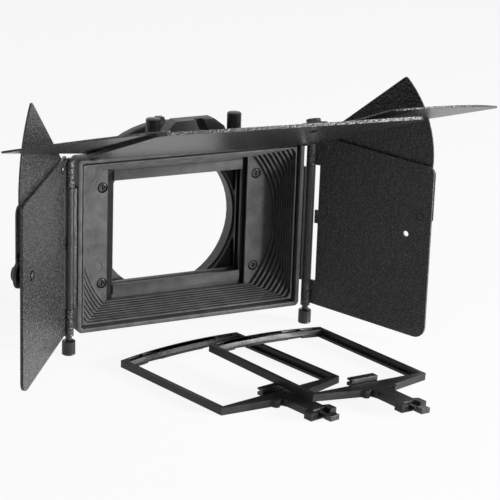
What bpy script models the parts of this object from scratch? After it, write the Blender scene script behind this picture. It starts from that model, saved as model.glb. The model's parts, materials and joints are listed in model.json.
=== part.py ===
"""Matte box for a camera lens, with folding flags and two filter trays.

The lens looks along -Y out of the hood, Z is up and X runs across.
Sizes are metres. The hood's front rim lies in the plane y = 0 and the
lens axis is x = 0, z = 0 until the last step stands the whole set on
the ground plane.
"""
import bpy
import bmesh
from math import asin, atan2, cos, degrees, pi, radians, sin, sqrt
from mathutils import Matrix, Vector

# Clearances
GAP = 0.0003
SLIP = 0.0004
SHEET_GAP = 0.0003

# Hood
HOOD_HALF_WIDTH = 0.0697
HOOD_HALF_HEIGHT = 0.0497
HOOD_RIM_WALL = 0.0025
HOOD_CORNER_RADIUS = 0.0028
HOOD_STRAIGHT_DEPTH = 0.0120
HOOD_REAR_HALF_WIDTH = 0.0640
HOOD_REAR_HALF_HEIGHT = 0.0430
PLATE_FRONT_Y = 0.0180
PLATE_THICKNESS = 0.0018
WINDOW_HALF_WIDTH = 0.0425
WINDOW_HALF_HEIGHT = 0.0381
LIP_Y = 0.0022
LIP_HALF_WIDTH = 0.0659
LIP_HALF_HEIGHT = 0.0457
GROOVE_DEPTH = 0.0060
STEP_COUNT = 9
STEP_FIRST_RADIUS = 0.0603
STEP_LAST_RADIUS = 0.0774
STEP_FIRST_HALF_WIDTH = 0.0599
STEP_LAST_HALF_WIDTH = 0.0650
STEP_FIRST_HALF_HEIGHT = 0.0385
STEP_LAST_HALF_HEIGHT = 0.0448
ARC_STEPS = 7
HOOD_SCREW_X = 0.0480
HOOD_SCREW_Z = 0.0279
HOOD_SCREW_HEAD_RADIUS = 0.0028
HOOD_SCREW_HEAD_THICKNESS = 0.0014
HOOD_SCREW_SHANK_RADIUS = 0.0014
HOOD_SCREW_LENGTH = 0.0110
CROSS_ARM = 0.0016
CROSS_WIDTH = 0.0006
CROSS_DEPTH = 0.0009

# Filter stage
STAGE_FRONT_Y = PLATE_FRONT_Y + PLATE_THICKNESS + GAP
STAGE_HALF_WIDTH = 0.0530
STAGE_TOP_Z = 0.0470
STAGE_BOTTOM_Z = -0.0505
STAGE_BAR_HALF_WIDTH = 0.0401
STAGE_BAR_TOP = 0.0363
STAGE_BAR_BOTTOM = 0.0306
STAGE_BAR_HEIGHT = 0.0009
STAGE_FRONT_WALL = 0.0014
STAGE_SLOT_DEPTH = 0.0046
STAGE_MIDDLE_WALL = 0.0012
STAGE_REAR_WALL = 0.0028
STAGE_HOLE_RADIUS = 0.0435
SLOT_FLOOR_Z = -0.0482

# Rear clamp ring
RING_BORE_RADIUS = 0.0425
RING_NECK_RADIUS = 0.0470
RING_OUTER_RADIUS = 0.0576
RING_NECK_LENGTH = 0.0024
RING_FLANGE_LENGTH = 0.0056
RING_BOSS_X = -0.0035
RING_BOSS_WIDTH = 0.0080
RING_BOSS_HEIGHT = 0.0026
RING_SEGMENTS = 56
RING_SCREW_COUNT = 4
RING_SCREW_INSET = 0.0041
RING_SCREW_CIRCLE = RING_OUTER_RADIUS - RING_SCREW_INSET
RING_SCREW_ANGLE = 45.0
RING_SCREW_HOLE_RADIUS = 0.0013
RING_SCREW_HOLE_DEPTH = 0.0020
RING_SCREW_RADIUS = 0.0010
RING_SCREW_HEAD_RADIUS = 0.0021
RING_SCREW_HEAD_THICKNESS = 0.0012
RING_SCREW_LENGTH = 0.0096
CLAMP_STEM_RADIUS = 0.0015
CLAMP_KNOB_RADIUS = 0.0045
CLAMP_KNOB_LENGTH = 0.0090
CLAMP_BOSS_LENGTH = 0.0060
CLAMP_BOSS_RADIUS = 0.0034

# Side hinges
HINGE_X = 0.0746
HINGE_Y = 0.0008
BARREL_RADIUS = 0.0028
BARREL_HALF_LENGTH = 0.0345
KNUCKLE_TOP_Z = 0.0495
KNUCKLE_BOTTOM_Z = -0.0500
PIN_RADIUS = 0.0012
PIN_BORE_RADIUS = 0.0015
PIN_HEAD_RADIUS = 0.0019
PIN_HEAD_HEIGHT = 0.0014
PIN_NECK_RADIUS = 0.0018
PIN_THREAD_RADIUS = 0.0012
LEAF_THICKNESS = 0.0012
LEAF_DEPTH = 0.0085
LEAF_HALF_HEIGHT = 0.0340
LEAF_SCREW_Z = 0.0230
LEAF_SCREW_Y = 0.0066
LEAF_SCREW_RADIUS = 0.0016
LEAF_SCREW_HOLE_RADIUS = 0.0011
LEAF_SCREW_HOLE_DEPTH = 0.0048
KNOB_TOP_Z = -0.0528
KNOB_BOTTOM_Z = -0.0611
KNOB_RADIUS = 0.0038
KNOB_TEETH = 14

# Flags
SHEET_THICKNESS = 0.0017
WING_THICKNESS = 0.0011
SIDE_SWING_LEFT = 38.8
SIDE_SWING_RIGHT = 35.2
SIDE_OFFSET = 0.0012
SIDE_REACH = 0.0755
SIDE_INNER_EDGE = 0.0052
SIDE_TAB_EDGE = 0.0030
SIDE_TAB_TOP = 0.0079
SIDE_TAB_BOTTOM = 0.0001
SIDE_TOP_ROOT_Z = 0.0529
SIDE_TOP_TIP_Z = 0.0435
SIDE_BOTTOM_ROOT_Z = -0.0486
SIDE_BOTTOM_TIP_Z = -0.0580
SIDE_CORNER_RADIUS = 0.0060
SIDE_WING_PIVOT = (0.0080, 0.0465)
SIDE_WING_RADIUS = 0.0660
SIDE_WING_FROM = -5.0
SIDE_WING_TO = 44.9
SIDE_WING_MARGIN = 0.0062
SIDE_WING_CORNER_RADIUS = 0.0016
STUD_POINT = (0.0606, 0.0030)
SPARE_HOLE_POINT = (0.0685, 0.0145)
SPARE_HOLE_RADIUS = 0.0024
GUIDE_INNER = 0.0625
GUIDE_OUTER = 0.0752
GUIDE_BOTTOM_Z = 0.0116
GUIDE_TOP_Z = 0.0430
GUIDE_THICKNESS = 0.0009
GUIDE_CORNER_RADIUS = 0.0045

# Top flag
TOP_TILT = 19.17
TOP_ROLL = 0.95
TOP_PLANE_Y = 0.0010
TOP_PLANE_Z = 0.0475
TOP_LENGTH = 0.1238
TOP_REAR_EDGE = 0.0030
TOP_HALF_WIDTH_REAR = 0.0720
TOP_HALF_WIDTH_FRONT = 0.0758
TOP_CORNER_RADIUS = 0.0050
TOP_WING_PIVOT = (0.0650, 0.0120)
TOP_WING_FROM = 43.7
TOP_WING_TO = 90.0
TOP_WING_MARGIN = 0.0060
TOP_WING_CORNER_RADIUS = 0.0020
# How each top wing rides: radius, lift on its washer, pitch, roll and turn about its pivot.
TOP_WING_RIDE = {"left": (0.1066, 0.0015, 0.7, 1.8, -0.8),
                 "right": (0.1124, 0.0018, -0.7, 0.8, 4.9)}
TOP_STUD_POINT = (0.0250, 0.0950)
TOP_HINGE_Y = 0.0068
TOP_HINGE_Z = 0.0538
TOP_KNUCKLE_RADIUS = 0.0026
TOP_KNUCKLE_IN = 0.0400
TOP_KNUCKLE_OUT = 0.0500
TOP_EAR_INSET = 0.0005
TOP_EAR_IN = TOP_KNUCKLE_IN + TOP_EAR_INSET
TOP_EAR_OUT = TOP_KNUCKLE_OUT - TOP_EAR_INSET
# The ear's side view, as distances from the hinge's axis.
TOP_EAR_OUTLINE = ((-0.0158, -0.0003), (-0.0158, -0.0020), (-0.0128, -0.0026),
                   (-0.0092, -0.0026), (-0.0028, -0.0024), (0.0006, -0.0022),
                   (0.0006, 0.0022), (-0.0038, 0.0002))

# Top bracket
BRACKET_HALF_WIDTH = 0.0370
BRACKET_FRONT_Y = 0.0005
BRACKET_REAR_Y = 0.0095
BRACKET_BASE_HEIGHT = 0.0078
BRACKET_BASE_TOP_Z = HOOD_HALF_HEIGHT + BRACKET_BASE_HEIGHT
CHANNEL_SHOULDER = 0.0008
CHANNEL_CLEARANCE = 0.0005
BLOCK_FOOT_HALF_WIDTH = 0.0200
BLOCK_TOP_HEIGHT = 0.0093
# The block's slanting sides: distance from the middle, height above the bracket's base.
BLOCK_RIGHT_EDGE = ((0.0178, 0.0047), (0.0116, 0.0093))
BLOCK_LEFT_EDGE = ((-0.0115, 0.0091), (-0.0142, 0.0070), (-0.0163, 0.0043), (-0.0184, 0.0010))
BLOCK_SLOT_TOP = (-0.0013, 0.0040)
BLOCK_SLOT_FOOT = (0.0040, 0.0086)
BLOCK_SLOT_RISE = 0.0005
BLOCK_SLOT_DEPTH = 0.0034
THUMB_X = 0.0249
THUMB_Y = 0.0027
THUMB_SEAT_GAP = 0.0007
THUMB_HEAD_LENGTH = 0.0108
THUMB_BOTTOM_Z = BRACKET_BASE_TOP_Z + THUMB_SEAT_GAP
THUMB_TOP_Z = THUMB_BOTTOM_Z + THUMB_HEAD_LENGTH
THUMB_RADIUS = 0.0041
THUMB_SHANK_RADIUS = 0.0015
THUMB_SHANK_DEPTH = 0.0021
THUMB_SHANK_END_Z = HOOD_HALF_HEIGHT - THUMB_SHANK_DEPTH

# Wing fasteners
STUD_RADIUS = 0.0014
STUD_HEAD_RADIUS = 0.0030
STUD_HEAD_THICKNESS = 0.0006
PIVOT_HEAD_RADIUS = 0.0032
PIVOT_HEAD_THICKNESS = 0.0010
WHEEL_RADIUS = 0.0075
WHEEL_THICKNESS = 0.0024
CROWN_RADIUS = 0.0038
CROWN_HEIGHT = 0.0022
COLLAR_RADIUS = 0.0040
COLLAR_HEIGHT = 0.0040
NUT_TEETH = 14
WASHER_RADIUS = 0.0045

# Filter trays
TRAY_HALF_WIDTH = 0.04105
TRAY_HALF_LENGTH = 0.0435
TRAY_BOW = 0.0041
TRAY_THICKNESS = 0.0040
TRAY_RECESS_HALF_WIDTH = 0.0382
TRAY_WINDOW_HALF_WIDTH = 0.0357
TRAY_LEDGE = 0.0014
TRAY_DRAFT = 0.0002
TRAY_FAR_INNER = 0.0388
TRAY_FAR_BOW = 0.0032
TRAY_NEAR_INNER = -0.0412
TRAY_NEAR_LEDGE = -0.0392
TRAY_STEM_HALF_WIDTH = 0.0052
TRAY_STEM_END = -0.0697
TRAY_BLOCK_HALF_WIDTH = 0.0087
TRAY_BLOCK_END = -0.0765
POCKET_DEPTH = 0.0026
BORE_HALF_WIDTH = 0.0016
BORE_LOW = 0.0010
BORE_HIGH = 0.0030
SPRING_CHAMBER = (-0.0680, -0.0560)
SPRING_CHAMBER_HALF_WIDTH = 0.0020
SPRING_MEAN_RADIUS = 0.00125
SPRING_WIRE_RADIUS = 0.00018
SPRING_TURNS = 5
LATCH_HEAD_HALF_WIDTH = 0.0093
LATCH_HEAD_FAR = -0.0344
LATCH_HEAD_NEAR = -0.0386
LATCH_HEAD_TOP = 0.0058
LATCH_TIP_END = -0.0850
LATCH_TIP_START = -0.0795
LATCH_TIP_HALF_WIDTH = 0.0030
LATCH_TAPER = 0.0010
LATCH_NECK_HALF_WIDTH = 0.0006
LATCH_LIP = 0.0010
LATCH_LIP_DEPTH = 0.0018
LATCH_LIP_RISE = 0.0008
LATCH_LIP_THICKNESS = 0.0012
LATCH_GRIP_DROP = 0.0016
MOUTH_CLEARANCE = 0.0014
MOUTH_DEPTH = 0.0028
TRAY_A_CENTRE = (-0.0061, -0.0622)
TRAY_A_TURN = 13.1
TRAY_B_CENTRE = (0.0405, -0.0759)
TRAY_B_TURN = 12.6
TRAY_B_TILT = 3.90
TRAY_B_PITCH = 1.1
TRAY_B_TOP_Z = -0.05335


def empty_scene():
    """Remove the objects, meshes and materials the file starts with."""
    for item in list(bpy.data.objects):
        bpy.data.objects.remove(item, do_unlink=True)
    for mesh in list(bpy.data.meshes):
        bpy.data.meshes.remove(mesh)
    for mat in list(bpy.data.materials):
        bpy.data.materials.remove(mat)


def make_material(name, colour, roughness, metallic=0.0):
    """A plain opaque finish."""
    mat = bpy.data.materials.new(name)
    mat.use_nodes = True
    shader = mat.node_tree.nodes["Principled BSDF"]
    shader.inputs["Base Color"].default_value = (*colour, 1.0)
    shader.inputs["Roughness"].default_value = roughness
    shader.inputs["Metallic"].default_value = metallic
    mat.diffuse_color = (*colour, 1.0)
    return mat


empty_scene()
HOOD_PLASTIC = make_material("hood_plastic", (0.065, 0.065, 0.067), 0.55)
STAGE_PLASTIC = make_material("stage_plastic", (0.060, 0.060, 0.062), 0.50)
RING_PLASTIC = make_material("ring_plastic", (0.035, 0.035, 0.036), 0.50)
FLAG_COAT = make_material("flag_coat", (0.028, 0.028, 0.029), 0.42)
HINGE_STEEL = make_material("hinge_steel", (0.020, 0.020, 0.021), 0.35, 0.4)
PIN_STEEL = make_material("pin_steel", (0.030, 0.030, 0.031), 0.30, 0.6)
KNOB_METAL = make_material("knob_metal", (0.022, 0.022, 0.023), 0.35, 0.5)
SCREW_STEEL = make_material("screw_steel", (0.025, 0.025, 0.026), 0.35, 0.6)
TRAY_PLASTIC = make_material("tray_plastic", (0.018, 0.018, 0.019), 0.38)
LATCH_PLASTIC = make_material("latch_plastic", (0.024, 0.024, 0.025), 0.40)
SPRING_STEEL = make_material("spring_steel", (0.450, 0.450, 0.460), 0.30, 1.0)
BRACKET_METAL = make_material("bracket_metal", (0.030, 0.030, 0.031), 0.45, 0.2)


def new_object(name, verts, faces, mat, place=None):
    """Add a mesh object, its vertices given in its own frame."""
    if place is not None and place.determinant() < 0:
        verts = [(v[0], -v[1], v[2]) for v in verts]
        place = place @ Matrix.Scale(-1, 4, (0, 1, 0))
    mesh = bpy.data.meshes.new(name)
    mesh.from_pydata([tuple(v) for v in verts], [], [tuple(f) for f in faces])
    bm = bmesh.new()
    bm.from_mesh(mesh)
    bmesh.ops.recalc_face_normals(bm, faces=bm.faces)
    if bm.calc_volume(signed=True) < 0:
        bmesh.ops.reverse_faces(bm, faces=bm.faces)
    bm.to_mesh(mesh)
    bm.free()
    mesh.update()
    obj = bpy.data.objects.new(name, mesh)
    bpy.context.scene.collection.objects.link(obj)
    if mat is not None:
        mesh.materials.append(mat)
    if place is not None:
        obj.matrix_world = place
    return obj


def set_origin(obj, point):
    """Put an object's origin on a point and leave its shape where it is."""
    offset = obj.matrix_world.inverted() @ Vector(point)
    obj.data.transform(Matrix.Translation(-offset))
    obj.matrix_world = obj.matrix_world @ Matrix.Translation(offset)


def smooth_round(obj, angle=32.0):
    """Shade curved walls smooth and keep the real edges sharp."""
    obj.data.shade_smooth()
    obj.data.set_sharp_from_angle(angle=radians(angle))
    return obj


def ring_stack(name, rings, mat, closed_loop=False, place=None):
    """Skin a list of rings that all have the same number of points."""
    count = len(rings[0])
    verts = [p for ring in rings for p in ring]
    faces = []
    last = len(rings) if closed_loop else len(rings) - 1
    for k in range(last):
        a = k * count
        b = ((k + 1) % len(rings)) * count
        for i in range(count):
            j = (i + 1) % count
            faces.append((a + i, a + j, b + j, b + i))
    if not closed_loop:
        faces.append(tuple(range(count)))
        faces.append(tuple(range((len(rings) - 1) * count, len(rings) * count)))
    return new_object(name, verts, faces, mat, place)


def prism(name, outline, low, high, mat, axis="z", place=None):
    """Extrude a flat outline between two levels along one axis."""
    def point(p, level):
        if axis == "z":
            return (p[0], p[1], level)
        if axis == "y":
            return (p[0], level, p[1])
        return (level, p[0], p[1])
    rings = [[point(p, low) for p in outline], [point(p, high) for p in outline]]
    return ring_stack(name, rings, mat, place=place)


def box(name, low, high, mat, place=None):
    """A plain block from its two far corners."""
    outline = [(low[0], low[1]), (high[0], low[1]), (high[0], high[1]), (low[0], high[1])]
    return prism(name, outline, low[2], high[2], mat, place=place)


def turned(name, profile, mat, segments=20, place=None, teeth=0, tooth=0.0, toothed=()):
    """A round piece about its own z axis from (radius, height) pairs."""
    rings = []
    for k, (radius, height) in enumerate(profile):
        ring = []
        for i in range(segments):
            r = radius
            if teeth and k in toothed and i % 2:
                r = radius - tooth
            a = 2 * pi * i / segments
            ring.append((r * cos(a), r * sin(a), height))
        rings.append(ring)
    return ring_stack(name, rings, mat, place=place)


def tube(name, inner, outer, low, high, mat, segments=20, place=None):
    """A hollow cylinder about its own z axis."""
    rings = []
    for radius, height in ((inner, low), (outer, low), (outer, high), (inner, high)):
        step = 2 * pi / segments
        rings.append([(radius * cos(i * step), radius * sin(i * step), height)
                      for i in range(segments)])
    return ring_stack(name, rings, mat, closed_loop=True, place=place)


def as_cutter(obj):
    """Hide a cutter and show it as wire."""
    obj.hide_render = True
    obj.display_type = "WIRE"
    return obj


def boolean(target, other, operation, solver="EXACT"):
    """Cut or join with a hidden tool piece."""
    as_cutter(other)
    mod = target.modifiers.new(other.name, "BOOLEAN")
    mod.operation = operation
    mod.solver = solver
    mod.object = other
    return target


def cut(target, other, solver="EXACT"):
    return boolean(target, other, "DIFFERENCE", solver)


def join(target, other):
    return boolean(target, other, "UNION")


def rounded(points, radii, steps=5):
    """Round the corners of a flat outline."""
    out = []
    count = len(points)
    for i, p in enumerate(points):
        r = radii[i] if hasattr(radii, "__len__") else radii
        if r <= 0:
            out.append(p)
            continue
        here = Vector(p)
        back = (Vector(points[i - 1]) - here).normalized()
        ahead = (Vector(points[(i + 1) % count]) - here).normalized()
        half = back.angle(ahead) / 2
        reach = r / (sin(half) / cos(half))
        middle = here + (back + ahead).normalized() * (r / sin(half))
        start = here + back * reach - middle
        end = here + ahead * reach - middle
        a0 = atan2(start.y, start.x)
        a1 = atan2(end.y, end.x)
        turn = (a1 - a0 + pi) % (2 * pi) - pi
        for k in range(steps + 1):
            a = a0 + turn * k / steps
            out.append((middle.x + r * cos(a), middle.y + r * sin(a)))
    return out


def corner_rect(half_w, half_h, radius):
    """A rectangle whose four corners each hold the same number of points."""
    points = []
    for quarter in range(4):
        sx = 1 if quarter in (0, 3) else -1
        sz = 1 if quarter in (0, 1) else -1
        for k in range(ARC_STEPS + 1):
            a = (quarter + k / ARC_STEPS) * pi / 2
            points.append((sx * (half_w - radius) + radius * cos(a),
                           sz * (half_h - radius) + radius * sin(a)))
    return points


def clipped_circle(half_w, half_h, radius):
    """A circle clipped by a rectangle, with the points of corner_rect."""
    low = atan2(sqrt(radius ** 2 - half_w ** 2), half_w)
    high = atan2(half_h, sqrt(radius ** 2 - half_h ** 2))
    points = []
    for quarter in range(4):
        for k in range(ARC_STEPS + 1):
            t = k / ARC_STEPS
            a = low + (high - low) * (t if quarter in (0, 2) else 1 - t)
            x, z = radius * cos(a), radius * sin(a)
            sx = 1 if quarter in (0, 3) else -1
            sz = 1 if quarter in (0, 1) else -1
            points.append((sx * x, sz * z))
    return points


def at_y(points, y):
    return [(p[0], y, p[1]) for p in points]


def placed(origin, x_axis, y_axis, z_axis):
    """A frame from an origin and three directions."""
    m = Matrix.Identity(4)
    for column, direction in enumerate((x_axis, y_axis, z_axis)):
        direction = Vector(direction).normalized()
        for row in range(3):
            m[row][column] = direction[row]
    m.translation = Vector(origin)
    return m


def along(origin, direction):
    """A frame whose z axis points along a direction."""
    m = Vector(direction).to_track_quat("Z", "Y").to_matrix().to_4x4()
    m.translation = Vector(origin)
    return m


def cross_recess(target, frame, depth=CROSS_DEPTH, arm=CROSS_ARM):
    """Cut a cross recess into a head whose face is at z = 0 of the frame."""
    half = CROSS_WIDTH / 2
    name = target.name + "_cross"
    outline = [(arm, -half), (arm, half), (half, half), (half, arm), (-half, arm),
               (-half, half), (-arm, half), (-arm, -half), (-half, -half),
               (-half, -arm), (half, -arm), (half, -half)]
    tool = prism(name, outline, -depth, 0.0005, None, place=frame)
    return cut(target, tool)


def build_hood():
    """The one-piece hood with its stepped inner walls and rear plate."""
    rear_y = PLATE_FRONT_Y + PLATE_THICKNESS
    pitch = (PLATE_FRONT_Y - LIP_Y) / STEP_COUNT
    rings = []
    for k in range(STEP_COUNT):
        t = k / (STEP_COUNT - 1)
        shape = clipped_circle(
            STEP_FIRST_HALF_WIDTH + t * (STEP_LAST_HALF_WIDTH - STEP_FIRST_HALF_WIDTH),
            STEP_FIRST_HALF_HEIGHT + t * (STEP_LAST_HALF_HEIGHT - STEP_FIRST_HALF_HEIGHT),
            STEP_FIRST_RADIUS + t * (STEP_LAST_RADIUS - STEP_FIRST_RADIUS))
        rings.append(at_y(shape, PLATE_FRONT_Y - k * pitch))
        rings.append(at_y(shape, PLATE_FRONT_Y - (k + 1) * pitch))
    lip = corner_rect(LIP_HALF_WIDTH, LIP_HALF_HEIGHT, 0.0008)
    rings.append(at_y(lip, LIP_Y))
    rings.append(at_y(lip, GROOVE_DEPTH))
    inner = corner_rect(HOOD_HALF_WIDTH - HOOD_RIM_WALL, HOOD_HALF_HEIGHT - HOOD_RIM_WALL,
                        0.0010)
    rings.append(at_y(inner, GROOVE_DEPTH))
    rings.append(at_y(inner, 0.0))
    outer = corner_rect(HOOD_HALF_WIDTH, HOOD_HALF_HEIGHT, HOOD_CORNER_RADIUS)
    rings.append(at_y(outer, 0.0))
    rings.append(at_y(outer, HOOD_STRAIGHT_DEPTH))
    rear = corner_rect(HOOD_REAR_HALF_WIDTH, HOOD_REAR_HALF_HEIGHT, HOOD_CORNER_RADIUS)
    rings.append(at_y(rear, rear_y))
    hood = ring_stack("hood", rings, HOOD_PLASTIC)
    window = box("hood_window", (-WINDOW_HALF_WIDTH, PLATE_FRONT_Y - 0.004, -WINDOW_HALF_HEIGHT),
                 (WINDOW_HALF_WIDTH, rear_y + 0.004, WINDOW_HALF_HEIGHT), None)
    cut(hood, window)
    holes = 0
    for sx in (-1, 1):
        for sz in (-1, 1):
            holes += 1
            tool = turned("hood_screw_hole_%d" % holes,
                          [(HOOD_SCREW_HEAD_RADIUS + GAP, -0.004),
                           (HOOD_SCREW_HEAD_RADIUS + GAP, 0.004)], None, 20,
                          along((sx * HOOD_SCREW_X, rear_y, sz * HOOD_SCREW_Z), (0, 1, 0)))
            cut(hood, tool)
    for label, side in (("left", -1), ("right", 1)):
        for end, z in (("lower", -LEAF_SCREW_Z), ("upper", LEAF_SCREW_Z)):
            tool = turned("hood_leaf_hole_%s_%s" % (label, end),
                          [(LEAF_SCREW_HOLE_RADIUS, -LEAF_SCREW_HOLE_DEPTH),
                           (LEAF_SCREW_HOLE_RADIUS, 0.004)], None, 12,
                          along((side * HOOD_HALF_WIDTH, HINGE_Y + LEAF_SCREW_Y, z),
                                (side, 0, 0)))
            cut(hood, tool)
        tool = turned("hood_thumb_hole_" + label,
                      [(THUMB_SHANK_RADIUS + GAP, HOOD_HALF_HEIGHT - HOOD_RIM_WALL - 0.001),
                       (THUMB_SHANK_RADIUS + GAP, HOOD_HALF_HEIGHT + 0.002)], None, 16,
                      Matrix.Translation((side * THUMB_X, THUMB_Y, 0)))
        cut(hood, tool)
    return smooth_round(hood, 25.0)


def build_hood_screws():
    """Four cross-head screws that hold the hood to the filter stage."""
    made = []
    for label, sx, sz in (("upper_left", -1, 1), ("upper_right", 1, 1),
                          ("lower_left", -1, -1), ("lower_right", 1, -1)):
        face_y = PLATE_FRONT_Y + 0.0002
        frame = along((sx * HOOD_SCREW_X, face_y, sz * HOOD_SCREW_Z), (0, -1, 0))
        head = HOOD_SCREW_HEAD_THICKNESS
        profile = [(HOOD_SCREW_SHANK_RADIUS, -HOOD_SCREW_LENGTH),
                   (HOOD_SCREW_SHANK_RADIUS, -head),
                   (HOOD_SCREW_HEAD_RADIUS, -head),
                   (HOOD_SCREW_HEAD_RADIUS, -0.0004),
                   (HOOD_SCREW_HEAD_RADIUS - 0.0005, 0.0)]
        screw = turned("hood_screw_" + label, profile, SCREW_STEEL, 16, frame)
        cross_recess(screw, frame)
        made.append(smooth_round(screw))
    return made


def build_stage():
    """The filter stage behind the hood, with two open-topped tray slots."""
    front = STAGE_FRONT_Y + STAGE_BAR_HEIGHT
    slot_1 = front + STAGE_FRONT_WALL
    slot_2 = slot_1 + STAGE_SLOT_DEPTH + STAGE_MIDDLE_WALL
    rear = slot_2 + STAGE_SLOT_DEPTH + STAGE_REAR_WALL
    outline = rounded([(-STAGE_HALF_WIDTH, STAGE_BOTTOM_Z), (STAGE_HALF_WIDTH, STAGE_BOTTOM_Z),
                       (STAGE_HALF_WIDTH, STAGE_TOP_Z), (-STAGE_HALF_WIDTH, STAGE_TOP_Z)],
                      0.004, 3)
    stage = prism("filter_stage", outline, front, rear, STAGE_PLASTIC, axis="y")
    for label, sz in (("upper", 1), ("lower", -1)):
        low, high = sorted((sz * STAGE_BAR_BOTTOM, sz * STAGE_BAR_TOP))
        bar = box("stage_bar_" + label, (-STAGE_BAR_HALF_WIDTH, STAGE_FRONT_Y, low),
                  (STAGE_BAR_HALF_WIDTH, front + 0.0004, high), None)
        join(stage, bar)
    for label, y in (("front", slot_1), ("rear", slot_2)):
        slot = box("stage_slot_" + label,
                   (-TRAY_HALF_WIDTH - SLIP, y, SLOT_FLOOR_Z),
                   (TRAY_HALF_WIDTH + SLIP, y + STAGE_SLOT_DEPTH, STAGE_TOP_Z + 0.01), None)
        cut(stage, slot)
    window = box("stage_window", (-STAGE_BAR_HALF_WIDTH, front - 0.005, -STAGE_BAR_BOTTOM),
                 (STAGE_BAR_HALF_WIDTH, slot_2 + 0.001, STAGE_BAR_BOTTOM), None)
    cut(stage, window)
    hole = turned("stage_hole", [(STAGE_HOLE_RADIUS, slot_2 + 0.002),
                                 (STAGE_HOLE_RADIUS, rear + 0.01)], None, RING_SEGMENTS,
                  along((0, 0, 0), (0, 1, 0)))
    cut(stage, hole)
    holes = 0
    for sx in (-1, 1):
        for sz in (-1, 1):
            holes += 1
            tool = turned("stage_screw_hole_%d" % holes,
                          [(HOOD_SCREW_SHANK_RADIUS + GAP, -0.002),
                           (HOOD_SCREW_SHANK_RADIUS + GAP, HOOD_SCREW_LENGTH)], None, 14,
                          along((sx * HOOD_SCREW_X, front, sz * HOOD_SCREW_Z), (0, 1, 0)))
            cut(stage, tool)
    for k in range(RING_SCREW_COUNT):
        a = radians(RING_SCREW_ANGLE + 90 * k)
        tool = turned("stage_ring_hole_%d" % k,
                      [(RING_SCREW_HOLE_RADIUS, -RING_SCREW_HOLE_DEPTH),
                       (RING_SCREW_HOLE_RADIUS, 0.002)], None, 12,
                      along((RING_SCREW_CIRCLE * cos(a), rear, RING_SCREW_CIRCLE * sin(a)),
                            (0, 1, 0)))
        cut(stage, tool)
    smooth_round(stage, 30.0)
    return rear


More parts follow.
